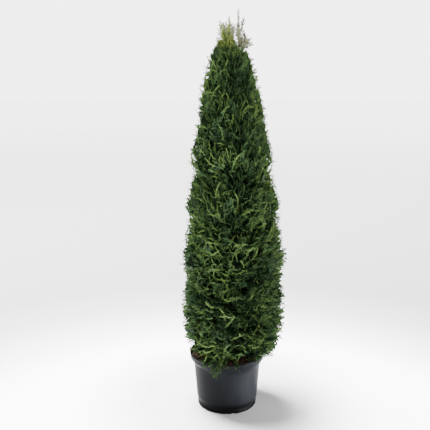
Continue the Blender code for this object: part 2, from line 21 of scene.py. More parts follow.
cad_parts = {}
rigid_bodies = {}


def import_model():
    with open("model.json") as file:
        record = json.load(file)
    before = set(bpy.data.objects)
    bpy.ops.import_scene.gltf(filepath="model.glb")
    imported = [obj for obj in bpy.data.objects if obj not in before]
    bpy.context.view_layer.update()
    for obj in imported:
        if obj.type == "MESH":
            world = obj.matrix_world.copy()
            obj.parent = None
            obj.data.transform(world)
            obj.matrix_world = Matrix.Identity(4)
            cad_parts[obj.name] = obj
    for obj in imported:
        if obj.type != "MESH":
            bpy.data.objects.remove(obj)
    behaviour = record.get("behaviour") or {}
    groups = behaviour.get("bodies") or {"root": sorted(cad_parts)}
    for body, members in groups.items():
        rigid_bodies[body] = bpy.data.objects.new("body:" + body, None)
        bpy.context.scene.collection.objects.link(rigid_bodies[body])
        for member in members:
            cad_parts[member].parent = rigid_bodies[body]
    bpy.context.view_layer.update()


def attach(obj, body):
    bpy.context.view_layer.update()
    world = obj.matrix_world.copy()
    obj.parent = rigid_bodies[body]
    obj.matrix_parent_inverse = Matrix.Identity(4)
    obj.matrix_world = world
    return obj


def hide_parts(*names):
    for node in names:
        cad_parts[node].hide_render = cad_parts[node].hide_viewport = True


LOG = logging.getLogger("arborvitae")
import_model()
BODY = "root"
UP = Vector((0.0, 0.0, 1.0))
GOLDEN_STEP = 0.618034
MOST_TRIANGLES = 190_000

Row = tuple[float, ...]
Face = tuple[int, ...]
Mesh = tuple[list[Vector], list[Face]]
Route = tuple[list[Vector], list[float]]
Socket = bpy.types.NodeSocket
Node = bpy.types.Node


# Node trees
class Value:
    """A number socket on which Python's operators add Math nodes."""

    def __init__(self, graph: Graph, socket: Socket) -> None:
        """Wrap a socket of the graph's tree."""
        self.graph = graph
        self.socket = socket

    def _math(self, operation: str, first: Value | float, second: Value | float) -> Value:
        """The result of one Math node."""
        node = self.graph.add("ShaderNodeMath", {"operation": operation}, {0: first, 1: second})
        return Value(self.graph, node.outputs[0])

    def __add__(self, other: Value | float) -> Value:
        """Sum."""
        return self._math("ADD", self, other)

    def __radd__(self, other: float) -> Value:
        """Sum with a number on the left."""
        return self._math("ADD", other, self)

    def __mul__(self, other: Value | float) -> Value:
        """Product."""
        return self._math("MULTIPLY", self, other)

    def __rmul__(self, other: float) -> Value:
        """Product with a number on the left."""
        return self._math("MULTIPLY", other, self)

    def __truediv__(self, other: Value | float) -> Value:
        """Quotient."""
        return self._math("DIVIDE", self, other)

    def __rtruediv__(self, other: float) -> Value:
        """Quotient of a number on the left."""
        return self._math("DIVIDE", other, self)


class Graph:
    """A node tree, and the one way that nodes are added to it."""

    def __init__(self, tree: bpy.types.NodeTree) -> None:
        """Take the tree that nodes go into."""
        self.tree = tree

    def add(self, kind: str, settings: dict | None = None, values: dict | None = None) -> Node:
        """Add a node.

        Args:
            kind: The node's type.
            settings: Its properties, set first. "stops" gives a ramp's places and colours.
            values: What goes into its inputs, as feed takes it.

        Returns:
            The new node.
        """
        node = self.tree.nodes.new(kind)
        for name, setting in (settings or {}).items():
            if name == "stops":
                self._set_stops(node, setting)
            else:
                setattr(node, name, setting)
        self.feed(node, values or {})
        return node

    def feed(self, node: Node, values: dict) -> None:
        """Set or link a node's inputs.

        Args:
            node: The node.
            values: Numbers, colours, sockets or Values by the input's name or place.
        """
        for key, value in values.items():
            socket = self._input(node, key)
            if isinstance(value, Value):
                self.tree.links.new(value.socket, socket)
            elif isinstance(value, Socket):
                self.tree.links.new(value, socket)
            else:
                socket.default_value = value

    def value(
        self, kind: str, settings: dict | None = None, values: dict | None = None, output: str | int = 0
    ) -> Value:
        """Add a node and wrap its output of this name or place."""
        return Value(self, self.add(kind, settings, values).outputs[output])

    def place(self) -> Socket:
        """Where on the object a point is."""
        return self.add("ShaderNodeTexCoord").outputs["Object"]

    def drawn_out(self, place: Socket, share: float) -> Socket:
        """Places whose heights are scaled by this share, for strips and streaks."""
        return self.add("ShaderNodeMapping", values={"Vector": place, "Scale": (1.0, 1.0, share)}).outputs[0]

    def noise(self, place: Socket, scale: float, detail: float, roughness: float = 0.5) -> Value:
        """Noise at a place."""
        values = {"Vector": place, "Scale": scale, "Detail": detail, "Roughness": roughness}
        return self.value("ShaderNodeTexNoise", values=values)

    def share(self, value: Value | Socket, low: float, high: float) -> Value:
        """How far a value is on its way from low to high, held between 0 and 1."""
        return self.value("ShaderNodeMapRange", values={"Value": value, "From Min": low, "From Max": high})

    def ramp(self, value: Value | Socket, stops: Sequence[tuple[float, Row]]) -> Socket:
        """The colour that a ramp gives a value."""
        return self.add("ShaderNodeValToRGB", {"stops": stops}, {"Fac": value}).outputs["Color"]

    def blend(self, share: Value, first: Row | Socket, second: Row) -> Socket:
        """The first colour, with this share of the second."""
        values = {"Factor": share, "A": first, "B": second}
        return self.add("ShaderNodeMix", {"data_type": "RGBA"}, values).outputs["Result"]

    def bump(self, height: Value, strength: float, distance: float) -> Socket:
        """The normals of a surface with this relief."""
        values = {"Height": height, "Strength": strength, "Distance": distance}
        return self.add("ShaderNodeBump", values=values).outputs["Normal"]

    @staticmethod
    def _input(node: Node, key: str | int) -> Socket:
        """Find an input.

        Args:
            node: The node.
            key: The input's name or place.

        Returns:
            The input in use that has this name, or the one at this place.
        """
        if isinstance(key, int):
            return node.inputs[key]
        return next(socket for socket in node.inputs if socket.name == key and socket.enabled)

    @staticmethod
    def _set_stops(node: Node, stops: Sequence[tuple[float, Row]]) -> None:
        """Give a colour ramp its stops.

        Args:
            node: The ramp's node.
            stops: Each stop's place and colour.
        """
        ramp = node.color_ramp
        while len(ramp.elements) < len(stops):
            ramp.elements.new(1.0)
        for element, (place, colour) in zip(ramp.elements, stops):
            element.position = place
            element.color = (*colour, 1.0)


def new_finish(name: str) -> tuple[bpy.types.Material, Graph, Node]:
    """Start a material.

    Args:
        name: Its name.

    Returns:
        The material, the graph of its nodes and its shader.
    """
    material = bpy.data.materials.new(name)
    material.use_nodes = True
    graph = Graph(material.node_tree)
    return material, graph, material.node_tree.nodes["Principled BSDF"]


# Finishes
@dataclass(frozen=True)
class LeafColour:
    """One plain colour of scale leaves or green twigs, dealt out by spray."""

    name: str
    colour: Row
    roughness: float = 0.60
    shine: float = 0.12

    def make(self) -> bpy.types.Material:
        """Build the material.

        Returns:
            The material.
        """
        material, graph, shader = new_finish(self.name)
        graph.feed(shader, {"Base Color": (*self.colour, 1.0), "Roughness": self.roughness})
        graph.feed(shader, {"Specular IOR Level": self.shine})
        return material


class Tone(Enum):
    """The colours of the crown's fans, from the dark inside, which is painted shade, to the pale leader."""

    # SHADE is painted shade: the near-black tone of the fans that fill the crown's dark inside.
    SHADE = LeafColour("leaf shade", (0.0030, 0.0060, 0.0026), 0.90, 0.03)
    DEEP = LeafColour("leaf deep green", (0.0080, 0.0190, 0.0070), 0.80, 0.06)
    MID = LeafColour("leaf green", (0.0145, 0.0350, 0.0112))
    FRESH = LeafColour("leaf fresh green", (0.0305, 0.0610, 0.0170))
    BRIGHT = LeafColour("leaf bright edge", (0.0580, 0.0960, 0.0225))
    GOLDEN = LeafColour("leaf golden tip", (0.1700, 0.2050, 0.0520))
    PALE = LeafColour("pale shoot", (0.1550, 0.1580, 0.0980), 0.65)
    RUSTY = LeafColour("dead spray", (0.0400, 0.0170, 0.0090), 0.75)


@dataclass(frozen=True)
class BarkFinish:
    """Fibrous bark that peels in long strips, or the smoother bark of a twig."""

    name: str
    dark: Row
    light: Row
    strip_scale: float
    relief: float
    drawn: float = 0.09
    blotch_scale: float = 28.0
    strip_share: float = 0.75
    dark_until: float = 0.36
    light_from: float = 0.66
    roughness: float = 0.86

    def make(self) -> bpy.types.Material:
        """Build the material.

        Returns:
            The material.
        """
        material, graph, shader = new_finish(self.name)
        place = graph.place()
        strips = graph.noise(graph.drawn_out(place, self.drawn), self.strip_scale, 6.0, 0.6)
        blotches = graph.noise(place, self.blotch_scale, 3.0)
        mixed = strips * self.strip_share + blotches * (1.0 - self.strip_share)
        colours = graph.ramp(mixed, ((self.dark_until, self.dark), (self.light_from, self.light)))
        normals = graph.bump(strips, 0.7, self.relief)
        graph.feed(shader, {"Base Color": colours, "Normal": normals, "Roughness": self.roughness})
        return material


@dataclass(frozen=True)
class PotFinish:
    """Satin dark grey moulded plastic, dusty in places and splashed with soil near the rim, with painted
    shade on the foot below its step.
    """

    name: str = "pot plastic"
    plastic: Row = (0.0030, 0.0034, 0.0042)
    worn: Row = (0.0046, 0.0052, 0.0062)
    # Painted shade: the colour of the foot below its step, darker than the body.
    foot: Row = (0.0014, 0.0015, 0.0017)
    dust: Row = (0.0150, 0.0130, 0.0105)
    foot_top: float = 0.0365
    shine: float = 0.03
    cloud_scale: float = 9.0
    streak_scale: float = 60.0
    grain_scale: float = 900.0
    speck_scale: float = 140.0
    worn_span: Row = (0.42, 0.68)
    speck_span: Row = (0.60, 0.68)
    floor_span: Row = (0.045, 0.0)
    rim_span: Row = (0.190, 0.236)

    def make(self) -> bpy.types.Material:
        """Build the material.

        Returns:
            The material.
        """
        material, graph, shader = new_finish(self.name)
        place = graph.place()
        height = graph.add("ShaderNodeSeparateXYZ", values={0: place}).outputs["Z"]
        clouds = graph.noise(place, self.cloud_scale, 4.0)
        streaks = graph.noise(graph.drawn_out(place, 0.10), self.streak_scale, 3.0)
        grain = graph.noise(place, self.grain_scale, 2.0)
        wear = graph.share(clouds * 0.6 + streaks * 0.4, *self.worn_span)
        speck = graph.share(graph.noise(place, self.speck_scale, 4.0), *self.speck_span)
        low, high = graph.share(height, *self.floor_span), graph.share(height, *self.rim_span)
        body = graph.blend(wear, (*self.plastic, 1), (*self.worn, 1))
        # Painted shade: below foot_top the plastic turns to the darker foot colour.
        below = graph.share(height, self.foot_top + 0.001, self.foot_top)
        foot_shaded = graph.blend(below, body, (*self.foot, 1))
        looks = {
            "Base Color": graph.blend(speck * (low * 0.10 + high * 0.20 + 0.06), foot_shaded, (*self.dust, 1)),
            "Roughness": wear * 0.10 + speck * 0.12 + 0.46,
            "Specular IOR Level": self.shine,
            "Normal": graph.bump(grain, 0.18, 0.0003),
        }
        graph.feed(shader, looks)
        return material


@dataclass(frozen=True)
class MulchFinish:
    """Bark chips or crumbs of compost: two colours in blotches, with a coarse grain."""

    name: str
    dark: Row
    light: Row
    grain: float = 160.0
    relief: float = 0.0012
    blotch_scale: float = 45.0
    dark_until: float = 0.35
    light_from: float = 0.65
    roughness: float = 0.92

    def make(self) -> bpy.types.Material:
        """Build the material.

        Returns:
            The material.
        """
        material, graph, shader = new_finish(self.name)
        place = graph.place()
        fine = graph.noise(place, self.grain, 5.0, 0.65)
        mixed = fine * 0.5 + graph.noise(place, self.blotch_scale, 2.0) * 0.5
        colours = graph.ramp(mixed, ((self.dark_until, self.dark), (self.light_from, self.light)))
        normals = graph.bump(fine, 0.8, self.relief)
        graph.feed(shader, {"Base Color": colours, "Normal": normals, "Roughness": self.roughness})
        return material


# Meshes and pieces
def as_object(
    name: str, mesh: Mesh, material: bpy.types.Material | None = None, smooth: bool = False
) -> bpy.types.Object:
    """Put a mesh into the scene.

    Args:
        name: The object's name.
        mesh: Its points and faces.
        material: Its finish, if it has one yet.
        smooth: Whether it is shaded smooth.

    Returns:
        The object.
    """
    data = bpy.data.meshes.new(name)
    data.from_pydata([tuple(point) for point in mesh[0]], [], mesh[1])
    data.validate()
    if smooth:
        data.shade_smooth()
    if material:
        data.materials.append(material)
    made = bpy.data.objects.new(name, data)
    bpy.context.scene.collection.objects.link(made)
    return made


def baked(thing: bpy.types.Object) -> bpy.types.Object:
    """Turn what an object's modifiers make of it into its plain mesh.

    Args:
        thing: An object with live modifiers.

    Returns:
        The same object, with the result as its mesh and no modifier.
    """
    graph = bpy.context.evaluated_depsgraph_get()
    mesh = bpy.data.meshes.new_from_object(thing.evaluated_get(graph))
    thing.modifiers.clear()
    old = thing.data
    thing.data = mesh
    bpy.data.meshes.remove(old)
    for name in [a.name for a in mesh.attributes if a.name in ("turn", "size", "shape", "thick")]:
        mesh.attributes.remove(mesh.attributes[name])
    return thing


def give_nodes(thing: bpy.types.Object, tree: bpy.types.NodeTree, inputs: dict) -> bpy.types.Object:
    """Run a geometry tree on an object and keep its result as a mesh.

    Args:
        thing: The object that the tree starts from.
        tree: The geometry tree.
        inputs: The tree's inputs by name.

    Returns:
        The object with the result as its plain mesh.
    """
    modifier = thing.modifiers.new("Nodes", "NODES")
    modifier.node_group = tree
    for item in tree.interface.items_tree:
        if item.item_type == "SOCKET" and item.in_out == "INPUT" and item.name in inputs:
            modifier[item.identifier] = inputs[item.name]
    thing.update_tag()
    return baked(thing)


def as_piece(thing: bpy.types.Object, names: Sequence[str]) -> None:
    """Make an object a piece of the part.

    Args:
        thing: The object, which rides on the body.
        names: The CAD nodes that it stands for.
    """
    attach(thing, BODY)
    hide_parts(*names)
    LOG.info("%s: %d faces", thing.name, len(thing.data.polygons))


def grown_piece(
    data: bpy.types.Mesh, tree: bpy.types.NodeTree, inputs: dict, names: Sequence[str]
) -> None:
    """Turn points or lines into a piece.

    Args:
        data: The points or lines.
        tree: The geometry tree that dresses them.
        inputs: The tree's inputs by name.
        names: The CAD nodes that it stands for.
    """
    thing = bpy.data.objects.new(data.name, data)
    bpy.context.scene.collection.objects.link(thing)
    give_nodes(thing, tree, inputs)
    as_piece(thing, names)


def ring_faces(rings: int, sides: int, first: int = 0, flip: bool = False) -> list[Face]:
    """Join rings of corners.

    Args:
        rings: How many rings there are.
        sides: How many corners each has.
        first: The first ring's first corner.
        flip: Whether the faces look the other way.

    Returns:
        The faces.
    """
    faces: list[Face] = []
    for i in range(rings - 1):
        low, high = first + i * sides, first + (i + 1) * sides
        for k in range(sides):
            after = (k + 1) % sides
            if flip:
                faces.append((low + k, high + k, high + after, low + after))
            else:
                faces.append((low + k, low + after, high + after, high + k))
    return faces


# Geometry trees
def geometry_tree(name: str, inputs: Sequence[tuple[str, str]]) -> tuple[Graph, Node]:
    """Start a geometry tree.

    Args:
        name: Its name.
        inputs: The names and kinds of its inputs.

    Returns:
        Its graph and its input node.
    """
    tree = bpy.data.node_groups.new(name, "GeometryNodeTree")
    tree.interface.new_socket("Geometry", in_out="INPUT", socket_type="NodeSocketGeometry")
    for label, kind in inputs:
        tree.interface.new_socket(label, in_out="INPUT", socket_type="NodeSocket" + kind)
    tree.interface.new_socket("Geometry", in_out="OUTPUT", socket_type="NodeSocketGeometry")
    graph = Graph(tree)
    return graph, graph.add("NodeGroupInput")


def end_tree(graph: Graph, geometry: Socket, material: Socket) -> bpy.types.NodeTree:
    """Close a geometry tree.

    Args:
        graph: The tree's graph.
        geometry: What the tree has made.
        material: The finish for it.

    Returns:
        The tree.
    """
    real = graph.add("GeometryNodeRealizeInstances", values={"Geometry": geometry}).outputs[0]
    dressed = graph.add("GeometryNodeSetMaterial", values={"Geometry": real, "Material": material})
    graph.add("NodeGroupOutput", values={"Geometry": dressed.outputs[0]})
    return graph.tree


def carried(graph: Graph, kind: str, name: str) -> Socket:
    """The attribute of this name."""
    return graph.add("GeometryNodeInputNamedAttribute", {"data_type": kind}, {"Name": name}).outputs[0]


def set_shapes(
    graph: Graph, collection: Socket, points: Socket, which: Socket, turn: Socket, size: Socket
) -> Socket:
    """Set a shape on each point.

    Args:
        graph: The tree's graph.
        collection: The shapes' collection.
        points: The points.
        which: The number of each point's shape.
        turn: Its turn, as Euler angles.
        size: Its size.

    Returns:
        The shapes in their places.
    """
    values = {"Collection": collection, "Separate Children": True, "Reset Children": True}
    shapes = graph.add("GeometryNodeCollectionInfo", values=values)
    rotation = graph.add("FunctionNodeEulerToRotation", values={"Euler": turn})
    values = {
        "Points": points,
        "Instance": shapes.outputs["Instances"],
        "Pick Instance": True,
        "Instance Index": which,
        "Rotation": rotation.outputs[0],
        "Scale": size,
    }
    return graph.add("GeometryNodeInstanceOnPoints", values=values).outputs["Instances"]


def planting_tree() -> bpy.types.NodeTree:
    """Build the tree that sets a shape on each point, by the point's turn, size and shape.

    Returns:
        The tree.
    """
    graph, start = geometry_tree("Plant sprays", (("Shapes", "Collection"), ("Finish", "Material")))
    turn, size = (carried(graph, "FLOAT_VECTOR", name) for name in ("turn", "size"))
    which = carried(graph, "INT", "shape")
    planted = set_shapes(graph, start.outputs["Shapes"], start.outputs["Geometry"], which, turn, size)
    return end_tree(graph, planted, start.outputs["Finish"])


def twig_tree() -> bpy.types.NodeTree:
    """Build the tree that gives lines a round section, by their thickness.

    Returns:
        The tree.
    """
    graph, start = geometry_tree("Thicken twigs", (("Sides", "Int"), ("Finish", "Material")))
    lines = graph.add("GeometryNodeMeshToCurve", values={"Mesh": start.outputs["Geometry"]})
    sides = {"Resolution": start.outputs["Sides"], "Radius": 1.0}
    section = graph.add("GeometryNodeCurvePrimitiveCircle", {"mode": "RADIUS"}, sides)
    values = {
        "Curve": lines.outputs[0],
        "Profile Curve": section.outputs[0],
        "Scale": carried(graph, "FLOAT", "thick"),
        "Fill Caps": True,
    }
    tubes = graph.add("GeometryNodeCurveToMesh", values=values)
    return end_tree(graph, tubes.outputs[0], start.outputs["Finish"])


def scatter_tree() -> bpy.types.NodeTree:
    """Build the tree that scatters shapes over a surface, each turned and sized at random.

    Returns:
        The tree.
    """
    floats = [(name, "Float") for name in ("Spacing", "Density", "Smallest", "Largest", "Lift")]
    kinds = [("Shapes", "Collection"), ("Finish", "Material"), *floats, ("Seed", "Int")]
    graph, start = geometry_tree("Scatter chips", kinds)
    given = start.outputs

    def drawn(kind: str, low: Row | Socket | int, high: Row | Socket | int) -> Socket:
        """Draw a value for each point.

        Args:
            kind: The value's type.
            low: Its least.
            high: Its greatest.

        Returns:
            The value.
        """
        values = {"Min": low, "Max": high, "Seed": given["Seed"]}
        node = graph.add("FunctionNodeRandomValue", {"data_type": kind}, values)
        return next(socket for socket in node.outputs if socket.enabled)

    values = {
        "Mesh": given["Geometry"],
        "Distance Min": given["Spacing"],
        "Density Max": given["Density"],
        "Seed": given["Seed"],
    }
    spread = graph.add("GeometryNodeDistributePointsOnFaces", {"distribute_method": "POISSON"}, values)
    lift = graph.add("ShaderNodeCombineXYZ", values={"Z": given["Lift"]}).outputs[0]
    values = {"Geometry": spread.outputs["Points"], "Offset": lift}
    raised = graph.add("GeometryNodeSetPosition", values=values)
    tilt = drawn("FLOAT_VECTOR", (-0.45, -0.45, 0.0), (0.45, 0.45, math.tau))
    size = drawn("FLOAT", given["Smallest"], given["Largest"])
    picked = drawn("INT", 0, 1000)
    planted = set_shapes(graph, given["Shapes"], raised.outputs[0], picked, tilt, size)
    return end_tree(graph, planted, given["Finish"])


# Tables
def between(table: Sequence[Row], at: float) -> Row:
    """Look a value up in a table, with straight lines between its rows.

    Args:
        table: The rows, by their first value.
        at: The first value that is looked up.

    Returns:
        The other values there.
    """
    if at <= table[0][0]:
        return table[0][1:]
    for low, high in zip(table, table[1:]):
        if at <= high[0]:
            share = (at - low[0]) / (high[0] - low[0])
            return tuple(a + share * (b - a) for a, b in zip(low[1:], high[1:]))
    return table[-1][1:]


def mix(low: float, high: float, share: float) -> float:
    """The number this share of the way from low to high, held between them."""
    return low + (high - low) * min(1.0, max(0.0, share))


# Limbs
@dataclass(frozen=True)
class TrunkLine:
    """The trunk's route and thickness, as in the part's source."""

    foot: float = 0.2173
    top: float = 1.651
    radius: float = 0.0125
    tip_radius: float = 0.0012
    flare: float = 0.013
    flare_height: float = 0.014
    sides: int = 16
    bends: tuple[Row, ...] = (
        (0.2173, 0.014, 0.000),
        (0.300, 0.016, 0.001),
        (0.550, 0.021, 0.003),
        (0.850, 0.020, 0.000),
        (1.150, 0.019, -0.002),
        (1.330, 0.022, 0.000),
        (1.420, 0.031, 0.001),
        (1.480, 0.041, 0.001),
        (1.550, 0.042, 0.000),
        (1.651, 0.037, 0.000),
    )

    def stations(self) -> list[Row]:
        """Work out the source's rings.

        Returns:
            Height, right, back and radius of each.
        """
        heights = [self.foot + rise for rise in (0.0, 0.006, 0.013, 0.022, 0.036, 0.055)]
        heights += [bend[0] for bend in self.bends[1:]]
        rings = []
        for height in heights:
            right, back = between(self.bends, height)
            climb = (height - self.foot) / (self.top - self.foot)
            flare = self.flare * math.exp(-(height - self.foot) / self.flare_height)
            radius = self.tip_radius + (self.radius - self.tip_radius) * (1.0 - climb) + flare
            rings.append((height, right, back, radius))
        rings[0] = (rings[0][0], rings[1][1], rings[1][2], rings[0][3])
        return rings

    def middle(self, height: float) -> Vector:
        """The trunk's middle at a height."""
        right, back, _ = between(self.stations(), height)
        return Vector((right, back, height))


@dataclass(frozen=True)
class BoughRule:
    """How boughs leave the trunk and rise to their masses, as in the part's source."""

    trunk: TrunkLine = field(default_factory=TrunkLine)
    gap: float = 0.0005
    out_length: float = 0.007
    rise: float = 0.055
    sag: float = 0.004
    ease: float = 0.30
    share: float = 0.36
    taper: float = 0.60
    lowest: float = 0.026

    def root(self, height: float, radius: float, toward: Vector) -> list[Vector]:
        """Start a bough on the trunk's flats.

        Args:
            height: Where on the trunk it starts.
            radius: Its radius.
            toward: What it heads for.

        Returns:
            Its first two points.
        """
        right, back, _ = between(self.trunk.stations(), height)
        widest = between(self.trunk.stations(), height - radius)[2] * math.cos(math.pi / self.trunk.sides)
        away = Vector((toward.x - right, toward.y - back, 0.0)).normalized()
        root = Vector((right, back, height)) + away * (widest + self.gap)
        return [root, root + away * self.out_length]

    def rising(self, height: float, tip: Vector, heading: Vector) -> Route:
        """Route a bough that rises to its mass.

        Args:
            height: Where on the trunk it starts.
            tip: Where it ends.
            heading: The direction that it ends in.

        Returns:
            Its points and radii.
        """
        radius = self.share * between(self.trunk.stations(), height)[2]
        root, out = self.root(height, radius, tip)
        last = tip - heading * (tip - out).length * self.ease
        points = [root, out, out.lerp(last, 0.5) - UP * self.sag, last, tip]
        return points, self.radii(radius, len(points))

    def radii(self, radius: float, count: int) -> list[float]:
        """A bough's radii, from its foot to its tip."""
        step = (1.0 - self.taper) / (count - 1)
        return [radius * (1.0 - step * i) for i in range(count)]


def smooth_line(points: Sequence[Vector], radii: Sequence[float], step: float) -> Route:
    """Draw a curve through points.

    Args:
        points: The points.
        radii: The radius at each.
        step: About how far apart the curve's points are.

    Returns:
        The curve's points and radii.
    """
    line, widths = [], []
    ends = [points[0] * 2 - points[1], *points, points[-1] * 2 - points[-2]]
    for i in range(len(points) - 1):
        before, start, end, after = ends[i : i + 4]
        count = max(1, round((end - start).length / step))
        for k in range(count):
            t = k / count
            line.append(
                0.5
                * (
                    2 * start
                    + (end - before) * t
                    + (2 * before - 5 * start + 4 * end - after) * t**2
                    + (3 * start - before - 3 * end + after) * t**3
                )
            )
            widths.append(radii[i] + (radii[i + 1] - radii[i]) * t)
    return [*line, points[-1]], [*widths, radii[-1]]


@dataclass(frozen=True)
class BarkTube:
    """A limb's skin: rings of points round its line, raised into fibrous ridges."""

    sides: int
    step: float
    relief: float
    ridge: float = 0.0
    ridges: float = 7.0
    ridge_drift: float = 9.0
    grain_round: float = 2.4
    grain_along: float = 14.0
    thin: float = 0.004

    def mesh(self, points: Sequence[Vector], radii: Sequence[float], seed: float) -> Mesh:
        """The closed skin of a limb.

        Args:
            points: The limb's route.
            radii: Its radius at each point.
            seed: Where in the noise its ridges come from.

        Returns:
            Points and faces, closed at both ends.
        """
        line, widths = smooth_line(points, radii, self.step)
        corners: list[Vector] = []
        along = (line[1] - line[0]).normalized()
        side = along.orthogonal().normalized()
        for i, (middle, width) in enumerate(zip(line, widths)):
            ahead = line[min(i + 1, len(line) - 1)] - line[max(i - 1, 0)]
            along = ahead.normalized()
            side = (side - along * side.dot(along)).normalized()
            other = along.cross(side)
            for k in range(self.sides):
                turn = math.tau * k / self.sides
                level, away = i * self.step * self.grain_along + seed, self.grain_round
                spot = Vector((math.cos(turn) * away, math.sin(turn) * away, level))
                rough = noise.noise(spot) + 0.5 * noise.noise(spot * 2.7)
                drift = 3.0 * noise.noise(Vector((0, seed, i * self.step * self.ridge_drift)))
                ridge = self.ridge * math.sin(turn * self.ridges + drift)
                reach = width * (1.0 + ridge) + self.relief * rough * min(1.0, width / self.thin)
                corners.append(middle + side * math.cos(turn) * reach + other * math.sin(turn) * reach)
        faces = ring_faces(len(line), self.sides)
        faces.append(tuple(reversed(range(self.sides))))
        faces.append(tuple(range(len(corners) - self.sides, len(corners))))
        return corners, faces


def joined(meshes: Iterable[Mesh]) -> Mesh:
    """Make several meshes one.

    Args:
        meshes: The meshes.

    Returns:
        The one mesh.
    """
    corners: list[Vector] = []
    faces: list[Face] = []
    for points, sides in meshes:
        first = len(corners)
        corners.extend(points)
        faces.extend(tuple(first + corner for corner in face) for face in sides)
    return corners, faces


# The shapes of fans
@dataclass(frozen=True)
class FanShape:
    """A flat fan of scale-leaf strands, one long: a stem, side strands and their short strands.

    Its inner parts and its outer tips are separate meshes, so that they can differ in colour.
    """

    sweep: float
    bend: float
    cup: float
    seed: int
    strands: int = 7
    widest: float = 0.38
    half_width: float = 0.027
    half_height: float = 0.021
    spread: float = math.radians(44.0)
    first: float = 0.14
    short_strands: float = 4.5
    jointed: float = 0.20

    def edge_places(self) -> list[Vector]:
        """Find places at the fan's edge.

        Returns:
            Its root, its tip and the ends of its longest side strands.
        """
        places = [(0.0, 0.0), (1.05, 0.0)]
        for along, share in ((0.98, 0.55), (0.70, 1.05)):
            places += [(along, share * self.widest), (along, -share * self.widest)]
        return [self.surface(*place) for place in places]

    def surface(self, along: float, across: float) -> Vector:
        """The fan's surface: swept to one side, bent along its stem and cupped across it."""
        return Vector((along, across + self.sweep * along**2, self.bend * along**2 + self.cup * across**2))

    def meshes(self) -> tuple[Mesh, Mesh]:
        """Build the fan.

        Returns:
            Its inner parts and its outer tips.
        """
        chance = random.Random(self.seed)
        inner = [self.strand([(0.0, 0.0), (0.36, 0.0), (0.70, 0.0)], 1.3, 1.0)]
        outer = [self.strand([(0.70, 0.0), (1.0, 0.0)], 1.0, 0.9)]
        for i in range(self.strands):
            place = self.first + (0.90 - self.first) * i / (self.strands - 1)
            sign = 1.0 if i % 2 else -1.0
            reach = self.widest * math.sin(math.pi * min(1.0, 0.34 + place * 0.56)) ** 0.8
            reach *= chance.uniform(0.82, 1.10)
            turn = sign * self.spread * chance.uniform(0.86, 1.12) * (1.0 - 0.30 * place)
            elbow = self.step((place, 0.0), turn, reach * 0.5)
            end = self.step(elbow, turn * 0.60, reach * 0.5)
            if reach > self.jointed:
                inner.append(self.strand([(place, 0.0), elbow], 1.0, 1.0))
                outer.append(self.strand([elbow, end], 1.0, 0.85))
            else:
                outer.append(self.strand([(place, 0.0), end], 1.0, 0.85))
            self.add_short_strands((place, 0.0), elbow, end, turn, reach, chance, inner, outer)
        return joined(inner), joined(outer)

    @staticmethod
    def step(start: Row, turn: float, reach: float) -> Row:
        """The point this far from a start, both on the flat fan."""
        return start[0] + math.cos(turn) * reach, start[1] + math.sin(turn) * reach

    def add_short_strands(
        self,
        root: Row,
        elbow: Row,
        end: Row,
        turn: float,
        reach: float,
        chance: random.Random,
        inner: list[Mesh],
        outer: list[Mesh],
    ) -> None:
        """Add the short strands of one side strand.

        Args:
            root: Where the side strand starts.
            elbow: Its middle.
            end: Its end.
            turn: Its turn from the stem.
            reach: Its length.
            chance: The fan's random draws.
            inner: The inner parts so far.
            outer: The tips so far.
        """
        count = round(reach * self.short_strands)
        for k in range(count):
            share = 0.28 + 0.62 * (k + 0.5) / count
            side = 1.0 if k % 2 else -1.0
            low, high, part = (root, elbow, share * 2) if share < 0.5 else (elbow, end, share * 2 - 1)
            start = (low[0] + (high[0] - low[0]) * part, low[1] + (high[1] - low[1]) * part)
            heading = turn * (1.0 if share < 0.5 else 0.6) + side * math.radians(chance.uniform(30, 46))
            length = (0.030 + 0.30 * reach) * (1.15 - 0.55 * share) * chance.uniform(0.85, 1.15)
            strand = self.strand([start, self.step(start, heading, length)], 0.95, 0.65)
            (outer if share > 0.55 else inner).append(strand)

    def strand(self, line: Sequence[Row], wide: float, end_wide: float) -> Mesh:
        """Build a closed, keeled and blunt strand.

        Args:
            line: Its line on the flat fan.
            wide: Its width at the start, as a share.
            end_wide: The same at its end.

        Returns:
            Its mesh.
        """
        middles = [self.surface(*place) for place in line]
        corners: list[Vector] = []
        faces: list[Face] = []
        last = len(middles) - 1
        for i, middle in enumerate(middles):
            ahead = (middles[min(i + 1, last)] - middles[max(i - 1, 0)]).normalized()
            share = wide + (end_wide - wide) * i / last
            side = UP.cross(ahead).normalized() * self.half_width * share
            lift = UP * self.half_height
            corners += [middle + side - lift * 0.5, middle - side - lift * 0.5]
            if i < last:
                corners.append(middle + lift)
            if i and i < last:
                low, high = 3 * (i - 1), 3 * i
                for k in range(3):
                    after = (k + 1) % 3
                    faces.append((low + k, high + k, high + after, low + after))
        low, high = 3 * (last - 1), 3 * last
        faces.append((0, 1, 2))
        faces += [(low, high, high + 1, low + 1), (low + 1, high + 1, low + 2)]
        faces += [(low + 2, high, low), (low + 2, high + 1, high)]
        return corners, faces


